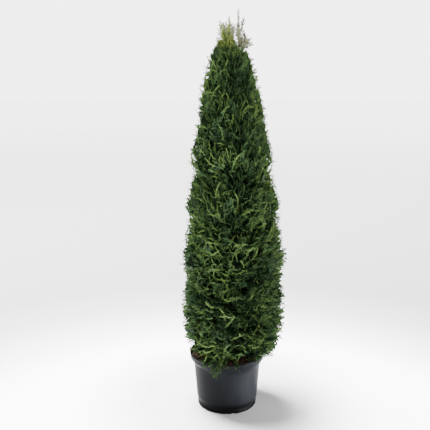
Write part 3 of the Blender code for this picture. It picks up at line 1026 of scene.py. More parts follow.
class ShapeBook:
    """All fan shapes as objects to plant: the inner parts first, then the tips."""

    FLAT = (
        FanShape(0.16, 0.14, 0.20, 3),
        FanShape(-0.18, 0.08, 0.35, 5),
        FanShape(0.06, 0.24, -0.20, 7, 8),
    )
    UPRIGHT = (
        FanShape(0.26, 0.16, 0.12, 11, 7, 0.31, spread=math.radians(38.0)),
        FanShape(0.16, -0.18, -0.20, 13, 7, 0.33, spread=math.radians(40.0)),
        FanShape(0.34, 0.04, 0.25, 17, 6, 0.29, spread=math.radians(36.0)),
    )
    OPEN = (
        FanShape(0.14, 0.05, 0.10, 19, 5, 0.36, 0.048, 0.040, math.radians(46.0), 0.24, 4.0),
        FanShape(-0.10, -0.04, 0.00, 23, 5, 0.34, 0.048, 0.040, math.radians(50.0), 0.30, 3.0),
    )
    EDGE = (
        FanShape(0.36, 0.34, 0.20, 43, 6, 0.20, 0.028, 0.022, math.radians(26.0), 0.12, 0.0),
        FanShape(0.30, -0.40, -0.20, 47, 6, 0.18, 0.028, 0.022, math.radians(24.0), 0.12, 0.0),
        FanShape(-0.30, 0.30, 0.30, 53, 5, 0.20, 0.028, 0.022, math.radians(28.0), 0.16, 0.0),
    )
    COARSE = (
        FanShape(0.10, 0.10, 0.20, 29, 6, 0.42, 0.056, 0.012, math.radians(50.0), 0.10, 0.0, 1.0),
        FanShape(-0.10, -0.10, 0.30, 31, 6, 0.42, 0.056, 0.012, math.radians(50.0), 0.10, 0.0, 1.0),
    )
    DROOPING = (
        FanShape(0.18, -0.32, -0.45, 37, 6, 0.36, 0.030, 0.016, short_strands=3.0),
        FanShape(-0.20, -0.22, -0.60, 41, 6, 0.34, 0.030, 0.016, short_strands=3.0),
    )
    SHAPES = (*FLAT, *UPRIGHT, *OPEN, *EDGE, *COARSE, *DROOPING)
    EDGES = tuple(shape.edge_places() for shape in SHAPES)

    def __init__(self) -> None:
        """Build every shape."""
        self.collection = bpy.data.collections.new("fan shapes")
        self.triangles: list[int] = []
        parts = [shape.meshes() for shape in self.SHAPES]
        for kind in (0, 1):
            for i, pair in enumerate(parts):
                name = f"fan_shape_{kind * len(self.SHAPES) + i:02d}"
                data = bpy.data.meshes.new(name)
                data.from_pydata([tuple(point) for point in pair[kind][0]], [], pair[kind][1])
                data.calc_loop_triangles()
                self.triangles.append(len(data.loop_triangles))
                self.collection.objects.link(bpy.data.objects.new(name, data))

    @classmethod
    def pick(cls, family: Sequence[FanShape], chance: random.Random) -> int:
        """The number of a shape of this family."""
        return cls.SHAPES.index(family[chance.randrange(len(family))])

    def clear(self) -> None:
        """Remove the shapes."""
        for thing in list(self.collection.objects):
            bpy.data.objects.remove(thing, do_unlink=True)
        bpy.data.collections.remove(self.collection)


# Growth
@dataclass
class Fan:
    """One fan: where it is rooted, how it is turned and sized, and its two tones."""

    root: Vector
    turn: Matrix
    length: float
    width: float
    shape: int
    inner: Tone
    outer: Tone


@dataclass
class Twig:
    """One twig's line and radii."""

    points: list[Vector]
    radii: Sequence[float]


@dataclass
class Growth:
    """What has grown in one part of the crown."""

    name: str
    nodes: list[str] = field(default_factory=list)
    fans: list[Fan] = field(default_factory=list)
    woody: list[Twig] = field(default_factory=list)
    green: list[Twig] = field(default_factory=list)


def facing(along: Vector, twist: float) -> Matrix:
    """Turn a fan.

    Args:
        along: Where it points.
        twist: How far it is turned about itself from upright.

    Returns:
        The turn.
    """
    level = along.cross(UP)
    if level.length < 1e-4:
        level = Vector((0.0, 1.0, 0.0))
    upright = level.cross(along).normalized()
    side = Matrix.Rotation(twist, 3, along) @ upright
    return Matrix((along, side, along.cross(side))).transposed()


def leaning(turn: float, out: float) -> Vector:
    """The direction that rises by one while it leans out by this much at this turn."""
    return Vector((math.cos(turn) * out, math.sin(turn) * out, 1.0)).normalized()


# The crown's outline and the spaces in it
@dataclass(frozen=True)
class Outline:
    """The crown's outline, as in the part's source: radii by height round a shifting centre."""

    axis: float = 0.020
    rows: tuple[Row, ...] = (
        (0.245, 0.172),
        (0.310, 0.203),
        (0.460, 0.209),
        (0.555, 0.195),
        (0.655, 0.215),
        (0.790, 0.185),
        (0.870, 0.190),
        (1.010, 0.156),
        (1.060, 0.168),
        (1.200, 0.136),
        (1.260, 0.133),
        (1.370, 0.106),
        (1.460, 0.083),
        (1.550, 0.055),
        (1.590, 0.042),
        (1.630, 0.014),
    )
    centres: tuple[Row, ...] = ((0.750, 0.025), (1.450, 0.007))

    def radius(self, height: float) -> float:
        """The crown's radius at a height."""
        return between(self.rows, height)[0]

    def centre(self, height: float) -> float:
        """How far right of the origin the crown's middle is at a height."""
        return between(self.centres, height)[0]

    def depth(self, point: Vector) -> float:
        """How far inside the outline a point is."""
        return self.radius(point.z) - math.hypot(point.x - self.centre(point.z), point.y)


@dataclass(frozen=True)
class Tier:
    """One tier of the crown, with its fans for a square metre of the crown's outline."""

    name: str
    seam: float
    wedges: int
    bearing: float
    inner: float
    limbs: int
    fans: int
    middle_fans: int
    inner_fans: int


TIERS = (
    Tier("skirt", 0.560, 5, -90.0, 0.045, 9, 3800, 1700, 1500),
    Tier("low", 0.800, 5, -68.0, 0.045, 9, 3800, 1700, 1500),
    Tier("waist", 1.010, 4, -90.0, 0.042, 9, 3900, 1800, 2000),
    Tier("middle", 1.200, 4, -62.0, 0.038, 9, 4200, 2100, 2400),
    Tier("shoulder", 1.370, 3, -100.0, 0.034, 11, 4700, 2400, 2600),
    Tier("high", 1.490, 3, -60.0, 0.031, 8, 5400, 2600, 2400),
)

# Height, then the middle and the radius of the crown's top, which narrows faster than its outline
CREST = (
    (1.430, 0.0080, 0.0980),
    (1.463, 0.0065, 0.0860),
    (1.489, 0.0050, 0.0730),
    (1.509, -0.0020, 0.0570),
    (1.529, -0.0045, 0.0430),
    (1.550, -0.0045, 0.0330),
    (1.570, -0.0060, 0.0220),
)


@dataclass(frozen=True)
class Space:
    """The room of one mass: a wedge of a tier, between two seams that rise outwards."""

    tier: int
    bearing: float
    spread: float
    outline: Outline
    slope: float = 0.90
    crown_floor: float = 0.250
    overhang: float = 0.016

    @property
    def half(self) -> float:
        """Half the wedge's spread."""
        return self.spread / 2

    @property
    def inner(self) -> float:
        """The wedge's inner radius."""
        return TIERS[self.tier].inner

    def seam(self, height: float) -> float:
        """The height at the axis of a seam that meets the outline at this height."""
        return height - self.slope * self.outline.radius(height)

    @property
    def floor(self) -> float:
        """The floor's height at the axis."""
        return self.seam(TIERS[self.tier - 1].seam) if self.tier else self.crown_floor

    def floor_at(self, radius: float) -> float:
        """The space's lowest height this far from the axis."""
        return self.floor + (self.slope * radius if self.tier else 0.0)

    def ceiling_at(self, radius: float) -> float:
        """The space's greatest height this far from the axis."""
        return self.seam(TIERS[self.tier].seam) + self.slope * radius

    def at(self, radius: float, up: float) -> Vector:
        """Find a point on the wedge's middle plane.

        Args:
            radius: How far out it is.
            up: Its share of the way up.

        Returns:
            The point.
        """
        floor, ceiling = self.floor_at(radius), self.ceiling_at(radius)
        x = self.outline.axis + radius * math.cos(self.bearing)
        return Vector((x, radius * math.sin(self.bearing), floor + up * (ceiling - floor)))

    def on_outline(self, across: float, up: float) -> Vector:
        """Find a point of the crown's outline.

        Args:
            across: Its share of the way across the wedge.
            up: Its share of the way up.

        Returns:
            The point.
        """
        turn = self.bearing + across * self.half
        radius, height = self.outline.radius(self.floor_at(self.inner)), 0.0
        for _ in range(4):
            floor, ceiling = self.floor_at(radius), self.ceiling_at(radius)
            height = floor + up * (ceiling - floor)
            shift = self.outline.axis - self.outline.centre(height)
            wide = self.outline.radius(height)
            radius = -shift * math.cos(turn) + math.sqrt(wide**2 - (shift * math.sin(turn)) ** 2)
        return Vector((self.outline.axis + radius * math.cos(turn), radius * math.sin(turn), height))

    def keeps(self, point: Vector) -> bool:
        """Test a fine tip against the wedge.

        Args:
            point: The tip.

        Returns:
            Whether it is inside, or a leaf's width past the seams.
        """
        right, back = point.x - self.outline.axis, point.y
        radius = math.hypot(right, back)
        off = math.atan2(back, right) - self.bearing
        off = abs((off + math.pi) % math.tau - math.pi)
        floor = self.floor_at(radius) - (self.overhang if self.tier else 0.0)
        return (
            radius > self.inner * 0.6
            and (off - self.half) * radius < self.overhang
            and floor < point.z < self.ceiling_at(radius) + self.overhang
            and self.outline.depth(point) > -0.012
        )


@dataclass(frozen=True)
class ToneRule:
    """Deals out tones: bright at the outside and in patches, and dark towards the trunk as painted shade."""

    outline: Outline
    patch: float = 9.0

    def __call__(self, tip: Vector, chance: random.Random) -> tuple[Tone, Tone]:
        """Deal out a fan's tones.

        Args:
            tip: The fan's tip.
            chance: The mass's random draws.

        Returns:
            The inner and the outer tone.
        """
        depth = self.outline.depth(tip)
        # Painted shade: the deeper a tip lies inside the outline, the darker its tones.
        glow = 0.8 * noise.noise(tip * self.patch) + chance.gauss(0.0, 0.28) - depth * 14.0 + 0.16
        if tip.z > 1.50:
            return (Tone.FRESH, Tone.GOLDEN) if chance.random() < 0.7 else (Tone.FRESH, Tone.BRIGHT)
        if tip.z > 0.95:
            glow += -0.10 if tip.z < 1.46 else 0.20
        else:
            glow -= mix(0.17, 0.11, (tip.z - 0.60) / 0.35)
        if depth > 0.03 and tip.z < 0.75 and chance.random() < 0.05:
            return Tone.RUSTY, Tone.RUSTY
        if glow > 0.20:
            return Tone.FRESH, Tone.BRIGHT
        if glow > -0.05:
            return Tone.MID, Tone.FRESH
        if glow > -0.30:
            return Tone.DEEP, Tone.FRESH
        if glow > -0.60:
            return Tone.DEEP, Tone.MID
        return Tone.SHADE, Tone.DEEP


class Layer(Enum):
    """How deep in the crown a fan grows: its least and greatest share of the way to the middle."""

    OUTER = (0.0, 0.0)
    # The middle and inner layers hold coarse dark fans: painted shade that fills the crown's inside.
    MIDDLE = (0.04, 0.28)
    INNER = (0.24, 0.90)


@dataclass(frozen=True)
class FanRule:
    """How one kind of fan grows. The pairs are for the crown's foot and for its shoulders."""

    family: tuple[FanShape, ...]
    spin: Row
    lean: float
    length: Row
    twist: float
    widths: Row = (0.80, 1.10)


class Habit(Enum):
    """The kinds of fans in the dense masses."""

    UPRIGHT = FanRule(ShapeBook.UPRIGHT, (0.24, 0.24), 13.0, (0.070, 0.050), 0.22)
    FLAT = FanRule(ShapeBook.FLAT, (0.45, 0.45), 13.0, (0.070, 0.050), 0.22)
    EDGE = FanRule(ShapeBook.EDGE, (0.75, 0.30), 24.0, (0.046, 0.050), 0.22, (1.0, 1.5))
    COARSE = FanRule(ShapeBook.COARSE, (0.80, 0.80), 13.0, (0.100, 0.060), 0.70)


@dataclass
class WedgeMass:
    """One dense mass of the crown, grown on from its bough."""

    name: str
    space: Space
    seed: int
    tones: ToneRule
    boughs: BoughRule
    core_share: float = 0.86
    hub_out: float = 0.52
    hub_up: float = 0.34
    stem_short: float = 0.004
    stem_up: float = 0.30
    most_out: float = 0.015
    middle_out: float = 0.001
    inner_out: float = -0.008
    widest: float = 0.2256
    tuft_scale: float = 34.0
    foot: float = 0.30
    paler: float = 0.35
    stem_radii: Row = (0.0028, 0.0024, 0.0018)
    limb_radii: Row = (0.0019, 0.0015, 0.0011)
    twig_radii: Row = (0.0013, 0.0011)

    def reach_out(self, height: float) -> float:
        """How far out of the outline fans may stand at a height: less where the crown is widest."""
        return min(self.most_out, self.widest - self.space.outline.radius(height))

    def stem(self) -> tuple[Vector, Vector]:
        """Place the mass's stem.

        Returns:
            Its start at the bough's tip, and its hub.
        """
        space, outline = self.space, self.space.outline
        level = space.at(outline.radius(space.floor) * self.hub_out, self.hub_up).z
        outward = space.inner + self.hub_out * (self.core_share * outline.radius(level) - space.inner)
        return space.at(space.inner - self.stem_short, self.stem_up), space.at(outward, self.hub_up)

    def bough(self) -> Route:
        """Route the bough that carries the mass.

        Returns:
            Its points and radii.
        """
        start, hub = self.stem()
        lowest = self.boughs.trunk.foot + self.boughs.lowest
        height = max(start.z - self.boughs.rise, lowest)
        return self.boughs.rising(height, start, (hub - start).normalized())

    def area(self) -> float:
        """Measure the part of the crown's outline that the mass fills.

        Returns:
            Its area.
        """
        top = self.space.on_outline(0.0, 1.0)
        low = self.space.on_outline(0.0, 0.0)
        return (top.z - low.z) * self.space.outline.radius((top.z + low.z) / 2) * self.space.spread

    def grow(self, growth: Growth) -> None:
        """Grow the mass's stem, twigs and fans.

        Args:
            growth: Where they go.
        """
        chance = random.Random(self.seed)
        start, hub = self.stem()
        growth.nodes.append("foliage_" + self.name)
        growth.woody.append(Twig([start, start.lerp(hub, 0.5) + UP * 0.002, hub], self.stem_radii))
        tier = TIERS[self.space.tier]
        limbs = []
        for i in range(tier.limbs):
            across = 2.0 * math.fmod(0.5 + i * GOLDEN_STEP, 1.0) - 1.0
            end = hub.lerp(self.space.on_outline(across * 0.9, 0.05 + 0.90 * (i + 0.5) / tier.limbs), 0.45)
            fork = start.lerp(hub, chance.uniform(0.55, 0.95))
            bend = fork.lerp(end, 0.5) + UP * chance.uniform(-0.006, 0.004)
            growth.woody.append(Twig([fork, bend, end], self.limb_radii))
            limbs.append((fork, bend, end))
        for layer, density in zip(Layer, (tier.fans, tier.middle_fans, tier.inner_fans)):
            count = round(density * self.area())
            for i in range(count):
                self.grow_fan(growth, limbs, (i + 0.5) / count, i, layer, chance)

    @staticmethod
    def is_bare(tip: Vector) -> bool:
        """Whether a tip would hide the soil where it shows under the crown."""
        bearing = math.degrees(math.atan2(tip.y, tip.x))
        return any(abs(bearing - middle) < half and tip.z < height for middle, half, height in SOIL_WINDOWS)

    def grow_fan(
        self,
        growth: Growth,
        limbs: Sequence[tuple[Vector, ...]],
        up: float,
        i: int,
        layer: Layer,
        chance: random.Random,
    ) -> None:
        """Grow the fan whose tip is this share of the way up, and the twig that carries it.

        Args:
            growth: Where it goes.
            limbs: The mass's main twigs.
            up: How far up the mass the tip is.
            i: The fan's number, which sets how far across it is.
            layer: How deep it grows. Fans below the outer layer are coarse and dark, as painted shade.
            chance: The mass's random draws.
        """
        across = 2.0 * math.fmod(0.5 + i * GOLDEN_STEP, 1.0) - 1.0
        outline = self.space.outline
        shell = self.space.on_outline(across, -0.03 + 1.06 * up)
        radius = outline.radius(shell.z)
        outer_layer = layer is Layer.OUTER
        reach = self.reach_out(shell.z)
        sunk = 0.026 * chance.random() ** 2.0 - 0.85 * reach - 0.010 * noise.noise(shell * self.tuft_scale)
        if not outer_layer:
            sunk = chance.uniform(*layer.value) * radius
        middle = Vector((outline.centre(shell.z), 0.0, shell.z))
        tip = self.under_crest(shell.lerp(middle, min(0.9, sunk / radius)))
        outward = Vector((tip.x - outline.axis, tip.y, 0.0)).normalized()
        climb = tip.z - self.foot
        upright = chance.random() < mix(0.48, 0.88, climb) + 0.25 * outward.x**2
        # Painted shade: fans below the outer layer take the SHADE tone.
        inner, outer = self.tones(tip, chance) if outer_layer else (Tone.SHADE, Tone.SHADE)
        edge = outer is Tone.BRIGHT or (inner is Tone.MID and chance.random() < 0.35)
        habit = Habit.EDGE if edge else Habit.UPRIGHT if upright else Habit.FLAT
        rule = habit.value if outer_layer else Habit.COARSE.value
        outward = Matrix.Rotation(chance.gauss(0.0, mix(*rule.spin, climb)), 3, "Z") @ outward
        lean = math.radians(mix(4.0, 54.0, climb) + (up - 0.5) * 24.0 + chance.gauss(0.0, rule.lean))
        along = outward * math.cos(lean) + UP * math.sin(lean)
        length = mix(*rule.length, climb) * (chance.uniform(0.75, 1.25) if outer_layer else 1.0)
        twist = chance.gauss(0.0, rule.twist) + (0.0 if upright else math.pi / 2)
        if not self.space.keeps(tip) or self.is_bare(tip):
            return
        if layer is Layer.MIDDLE:
            outer = Tone.MID if chance.random() < self.paler else Tone.DEEP
        shape = ShapeBook.pick(rule.family, chance)
        turn = facing(along, twist)
        width = length * chance.uniform(*rule.widths)
        size = Vector((length, width, length))
        most = {Layer.OUTER: reach, Layer.MIDDLE: self.middle_out, Layer.INNER: self.inner_out}[layer]
        root = self.held_in(tip - along * length, turn, size, shape, most)
        growth.fans.append(Fan(root, turn, length, width, shape, inner, outer))
        nearest = min(limbs, key=lambda limb: (limb[1] - root).length + (limb[2] - root).length)
        fork = nearest[1].lerp(nearest[2], chance.uniform(0.0, 1.0))
        growth.green.append(Twig([fork, root], self.twig_radii))

    @staticmethod
    def under_crest(tip: Vector) -> Vector:
        """Draw a tip in to the narrow top of the crown.

        Args:
            tip: The tip.

        Returns:
            Where it goes, which is the same place below the shoulders.
        """
        if tip.z <= CREST[0][0]:
            return tip
        centre, most = between(CREST, tip.z)
        flat = Vector((tip.x - centre, tip.y))
        share = min(1.0, most / max(flat.length, 1e-6))
        return Vector((centre + flat.x * share, flat.y * share, tip.z))

    def held_in(self, root: Vector, turn: Matrix, size: Vector, shape: int, most_out: float) -> Vector:
        """The root of a fan, moved in where the fan would stand too far out of the crown.

        Args:
            root: Where the fan would grow from.
            turn: The fan's turn.
            size: Its length, its width and its length again.
            shape: The number of its shape.
            most_out: How far out of the crown it may stand.

        Returns:
            The root to use.
        """
        outline = self.space.outline
        edges = ShapeBook.EDGES[shape]
        places = [root + turn @ Vector(a * b for a, b in zip(place, size)) for place in edges]
        farthest = min(places, key=outline.depth)
        excess = max(0.0, -most_out - outline.depth(farthest))
        return root + Vector((outline.axis - farthest.x, -farthest.y, 0.0)).normalized() * excess


@dataclass
class Tuft:
    """The golden tuft that tops the crown left of the leader, and its pale shoots."""

    tones: ToneRule
    boughs: BoughRule
    root_height: float = 1.375
    entrance: Vector = field(default_factory=lambda: Vector((0.010, 0.0, 1.450)))
    hub: Vector = field(default_factory=lambda: Vector((0.002, 0.0, 1.512)))
    fans: int = 300
    dark_fans: int = 60
    collar_fans: int = 110
    fans_from: float = 1.445
    beside_leader: float = 1.520
    thin_from: float = 1.545
    thin_over: float = 0.040
    collar: Row = (1.478, 1.526)
    core: Row = (1.440, 1.528)
    core_dark_until: float = 1.495
    stem_radii: Row = (0.0022, 0.0016, 0.0009)
    name: str = "tuft"
    shoots: tuple[Row, ...] = (
        (-0.040, 0.004, 1.590), (-0.030, -0.008, 1.605), (-0.014, 0.012, 1.598),
        (0.003, -0.002, 1.621), (0.012, 0.010, 1.604), (0.020, -0.008, 1.596),
        (-0.022, -0.016, 1.582), (0.024, 0.006, 1.578), (-0.038, 0.014, 1.572),
        (-0.004, -0.018, 1.590), (0.012, -0.022, 1.578), (-0.008, 0.026, 1.578),
        (-0.036, -0.010, 1.562), (-0.020, 0.020, 1.588), (-0.006, 0.002, 1.606),
        (0.018, 0.016, 1.586), (-0.026, 0.006, 1.594), (0.006, -0.012, 1.598),
        (-0.030, 0.010, 1.570), (-0.016, -0.010, 1.572), (-0.002, 0.008, 1.574),
        (0.012, 0.000, 1.572), (0.022, 0.002, 1.566), (-0.010, -0.020, 1.568),
        (-0.034, 0.000, 1.584), (-0.024, -0.012, 1.590), (-0.012, 0.004, 1.584),
        (0.004, 0.014, 1.588), (0.014, -0.014, 1.590), (-0.044, 0.006, 1.545),
        (-0.042, -0.010, 1.530), (-0.046, -0.004, 1.512), (-0.040, 0.012, 1.560),
        (-0.044, 0.010, 1.578), (0.026, 0.000, 1.590), (0.027, -0.012, 1.570),
        (0.025, 0.012, 1.556),
    )
    seed: int = 71

    def bough(self) -> Route:
        """The points and radii of the tuft's bough."""
        heading = (self.hub - self.entrance).normalized()
        return self.boughs.rising(self.root_height, self.entrance, heading)

    def grow(self, growth: Growth) -> None:
        """Grow the tuft's fans and the thin shoots that stand out of its top.

        Args:
            growth: Where they go.
        """
        chance = random.Random(self.seed)
        growth.nodes.append("foliage_" + self.name)
        top = self.hub + Vector((0.002, 0.0, 0.050))
        growth.woody.append(Twig([self.entrance, self.hub, top], self.stem_radii))
        foot = self.entrance - UP * 0.020
        for i in range(self.fans):
            share = (i + 0.5) / self.fans
            height = mix(self.fans_from, CREST[-1][0], share**0.85)
            turn = math.pi + math.tau * i * GOLDEN_STEP
            tip = self.crest_place(height, turn, math.sqrt(chance.uniform(0.25, 1.0)))
            if height > self.beside_leader and tip.x > self.boughs.trunk.middle(height).x - 0.006:
                continue
            if chance.random() < (height - self.thin_from) / self.thin_over:
                continue
            along = (tip - foot.lerp(self.hub, share) + UP * 0.015).normalized()
            length = mix(0.050, 0.036, share) * chance.uniform(0.80, 1.15)
            inner, outer = self.tones(tip, chance)
            shape = ShapeBook.pick(ShapeBook.UPRIGHT, chance)
            turned = facing(along, chance.gauss(0.0, 0.6))
            growth.fans.append(Fan(tip - along * length, turned, length, length, shape, inner, outer))
        self.fill_crest(growth, chance)
        self.grow_collar(growth, chance)
        self.grow_shoots(growth, chance)

    @staticmethod
    def crest_place(height: float, turn: float, share: float) -> Vector:
        """The place in the crown's top at a height, at a turn and this share of the way out."""
        centre, most = between(CREST, height)
        return Vector((centre + most * share * math.cos(turn), most * share * math.sin(turn), height))

    def grow_collar(self, growth: Growth, chance: random.Random) -> None:
        """Grow short fans round the crest, where the tuft widens into the crown.

        Args:
            growth: Where they go.
            chance: The tuft's random draws.
        """
        for i in range(self.collar_fans):
            height = mix(*self.collar, (i + 0.5) / self.collar_fans)
            turn = math.tau * i * GOLDEN_STEP
            tip = self.crest_place(height, turn, chance.uniform(0.72, 1.04))
            along = leaning(turn, 0.55)
            length = 0.036 * chance.uniform(0.75, 1.20)
            turned = facing(along, chance.gauss(0.0, 0.5))
            glow = chance.random() + (height - self.collar[0]) * 6.0
            tones = (Tone.FRESH, Tone.BRIGHT) if glow > 0.95 else (Tone.MID, Tone.FRESH)
            tones = (Tone.DEEP, Tone.MID) if glow < 0.45 else tones
            shape = ShapeBook.pick(ShapeBook.UPRIGHT, chance)
            growth.fans.append(Fan(tip - along * length, turned, length, length * 0.9, shape, *tones))

    def fill_crest(self, growth: Growth, chance: random.Random) -> None:
        """Grow coarse dark fans inside the crest, so that no sky shows through it. Their dark tones are
        painted shade.

        Args:
            growth: Where they go.
            chance: The tuft's random draws.
        """
        for i in range(self.dark_fans):
            height = mix(*self.core, (i + 0.5) / self.dark_fans)
            turn = math.tau * i * GOLDEN_STEP
            tip = self.crest_place(height, turn, chance.uniform(0.10, 0.72))
            along = leaning(turn, 0.35)
            length = mix(0.060, 0.036, (i + 0.5) / self.dark_fans)
            turned = facing(along, chance.gauss(0.0, 0.8))
            shape = ShapeBook.pick(ShapeBook.COARSE, chance)
            tones = (Tone.SHADE, Tone.DEEP) if height < self.core_dark_until else (Tone.DEEP, Tone.MID)
            growth.fans.append(Fan(tip - along * length, turned, length, length * 0.8, shape, *tones))

    def grow_shoots(self, growth: Growth, chance: random.Random) -> None:
        """Grow the pale forked shoots that stand out of the tuft.

        Args:
            growth: Where they go.
            chance: The tuft's random draws.
        """
        for i, place in enumerate(self.shoots):
            tip = Vector(place)
            root = self.hub.lerp(tip, 0.30)
            along = (tip - root).normalized()
            length = min((tip - root).length, 0.044 * chance.uniform(0.85, 1.15))
            tone = Tone.PALE if i % 3 else Tone.GOLDEN
            turned = facing(along, math.pi / 2 + chance.gauss(0.0, 0.6))
            shape = ShapeBook.pick(ShapeBook.OPEN, chance)
            growth.fans.append(Fan(tip - along * length, turned, length, length, shape, tone, tone))


@dataclass
class OpenShoots:
    """The sparse pale shoots right of the leader, whose stem meets the trunk."""

    trunk: TrunkLine
    root_height: float = 1.484
    hub: Vector = field(default_factory=lambda: Vector((0.061, 0.0, 1.508)))
    stem_radii: Row = (0.0022, 0.0019, 0.0013)
    shoot_radii: Row = (0.0011, 0.0010, 0.0009)
    leader_from: float = 1.492
    leader_step: float = 0.0062
    leader_shoots: int = 22
    seed: int = 83
    tips: tuple[Row, ...] = (
        (0.095, -0.010, 1.519), (0.088, 0.012, 1.530), (0.077, -0.018, 1.538),
        (0.071, 0.020, 1.553), (0.066, -0.004, 1.568), (0.069, -0.024, 1.500),
        (0.080, 0.026, 1.508), (0.060, 0.024, 1.535), (0.056, -0.022, 1.545),
        (0.055, 0.002, 1.615), (0.058, 0.008, 1.580), (0.050, -0.014, 1.528),
        (0.064, 0.034, 1.515), (0.056, -0.034, 1.518), (0.041, -0.010, 1.587),
        (0.035, 0.008, 1.570), (0.047, 0.012, 1.556), (0.034, -0.018, 1.545),
        (0.074, 0.004, 1.548), (0.084, -0.004, 1.540), (0.092, 0.006, 1.526),
        (0.050, -0.004, 1.600), (0.048, 0.020, 1.536), (0.058, -0.012, 1.556),
        (0.030, 0.004, 1.594), (0.031, -0.010, 1.576), (0.033, 0.012, 1.562),
    )

    def grow(self, growth: Growth) -> None:
        """Grow the stem and its shoots, and the fine side shoots of the leader.

        Args:
            growth: Where they go.
        """
        chance = random.Random(self.seed)
        growth.nodes.append("foliage_shoots")
        middle = self.trunk.middle(self.root_height)
        radius = between(self.trunk.stations(), self.root_height)[2]
        start = middle + Vector((radius * 0.6, 0.0, 0.0))
        line = [start, start.lerp(self.hub, 0.4) - UP * 0.003, self.hub]
        growth.woody.append(Twig(line, self.stem_radii))
        for i, place in enumerate(self.tips):
            tip = Vector(place)
            root = start.lerp(self.hub, chance.uniform(0.30, 1.0))
            inner = Tone.MID if i % 3 == 0 else Tone.PALE
            along = (tip - root).normalized()
            length = min((tip - root).length, 0.040 * chance.uniform(0.9, 1.2))
            near = tip - along * length
            turned = facing(along, chance.uniform(-0.8, 0.8))
            shape = ShapeBook.pick(ShapeBook.OPEN, chance)
            growth.fans.append(Fan(near, turned, length, length * 1.15, shape, inner, Tone.PALE))
            growth.woody.append(Twig([root, root.lerp(near, 0.5) - UP * 0.001, near], self.shoot_radii))
        self.grow_leader(growth, chance)

    def grow_leader(self, growth: Growth, chance: random.Random) -> None:
        """Grow the short shoots that lie against the leader.

        Args:
            growth: Where they go.
            chance: The shoots' random draws.
        """
        for i in range(self.leader_shoots):
            height = self.leader_from + self.leader_step * i
            along = leaning(math.tau * i * GOLDEN_STEP, 0.24)
            length = mix(0.036, 0.024, i / self.leader_shoots) * chance.uniform(0.8, 1.1)
            turned = facing(along, chance.uniform(-1.5, 1.5))
            shape = ShapeBook.pick(ShapeBook.OPEN, chance)
            middle = self.trunk.middle(height)
            growth.fans.append(Fan(middle, turned, length, length * 0.6, shape, Tone.PALE, Tone.PALE))


@dataclass
class Drape:
    """A low bough that runs over the pot's rim, and the fans that hang from it outside."""

    name: str
    bearing: float
    fans: tuple[Row, ...]
    boughs: BoughRule
    rim_radius: float = 0.160
    rim_height: float = 0.235
    clearance: float = 0.0030
    bough_radius: float = 0.0034
    root_rise: float = 0.0115
    spacing: float = 0.008
    spray: float = 0.030
    bent_radii: Row = (0.0015, 0.0015, 0.0015)
    hanging_radii: Row = (0.0014, 0.0008)

    DEALT = (
        (Tone.SHADE, Tone.DEEP),
        (Tone.DEEP, Tone.MID),
        (Tone.DEEP, Tone.MID),
        (Tone.DEEP, Tone.FRESH),
        (Tone.MID, Tone.FRESH),
        (Tone.MID, Tone.FRESH),
        (Tone.MID, Tone.BRIGHT),
    )

    def bough(self) -> Route:
        """Route the bough that carries the drape.

        Returns:
            Its points and radii.
        """
        out = Vector((math.cos(self.bearing), math.sin(self.bearing), 0.0))
        over = self.rim_height + self.clearance + self.bough_radius * self.boughs.taper
        route = [
            out * self.rim_radius * 0.60 + UP * (over - 0.004),
            out * (self.rim_radius - 0.004) + UP * over,
            out * (self.rim_radius + self.clearance) + UP * over,
        ]
        first = self.boughs.root(self.boughs.trunk.foot + self.root_rise, self.bough_radius, route[0])
        points = first + route
        return points, self.boughs.radii(self.bough_radius, len(points))

    def grow(self, growth: Growth) -> None:
        """Grow the fans, each from its bearing off the bough, root height and tip height.

        Args:
            growth: Where they go.
        """
        chance = random.Random(len(self.fans))
        growth.nodes.append("foliage_" + self.name)
        end = self.bough()[0][-1]
        for off, root_radius, root_height, tip_radius, tip_height in self.fans:
            turn = self.bearing + math.radians(off)
            out = Vector((math.cos(turn), math.sin(turn), 0.0))
            root = out * root_radius + UP * root_height
            tip = out * tip_radius + UP * tip_height
            bent = [end - out * 0.020, end.lerp(root, 0.5) + UP * 0.004, root]
            growth.green.append(Twig(bent, self.bent_radii))
            growth.green.append(Twig([root, tip], self.hanging_radii))
            self.hang(growth, root, tip, out, chance)

    def hang(self, growth: Growth, root: Vector, tip: Vector, out: Vector, chance: random.Random) -> None:
        """Hang small curled fans along a drooping twig, to both sides of it.

        Args:
            growth: Where they go.
            root: The twig's start.
            tip: Its end.
            out: The direction away from the trunk.
            chance: The drape's random draws.
        """
        sprays = max(3, round((tip - root).length / self.spacing))
        for k in range(sprays):
            share = (k + 0.6) / sprays
            swing = (1.0 if k % 2 else -1.0) * chance.uniform(0.35, 0.85) * (1.0 - 0.6 * share)
            along = Matrix.Rotation(swing, 3, out) @ (tip - root).normalized()
            length = self.spray * chance.uniform(0.75, 1.20)
            start = root.lerp(tip, share) - along * length * 0.45
            tones = chance.choice(self.DEALT)
            family = ShapeBook.DROOPING if chance.random() < 0.6 else ShapeBook.EDGE
            turned = facing(along, math.pi / 2 + chance.gauss(0.0, 0.45))
            shape = ShapeBook.pick(family, chance)
            growth.fans.append(Fan(start, turned, length, length * 1.2, shape, *tones))


# Bearing, half width in degrees, and the lowest height of foliage over it
SOIL_WINDOWS = (
    (-148.0, 11.5, 0.280),
    (-68.0, 16.0, 0.292),
)

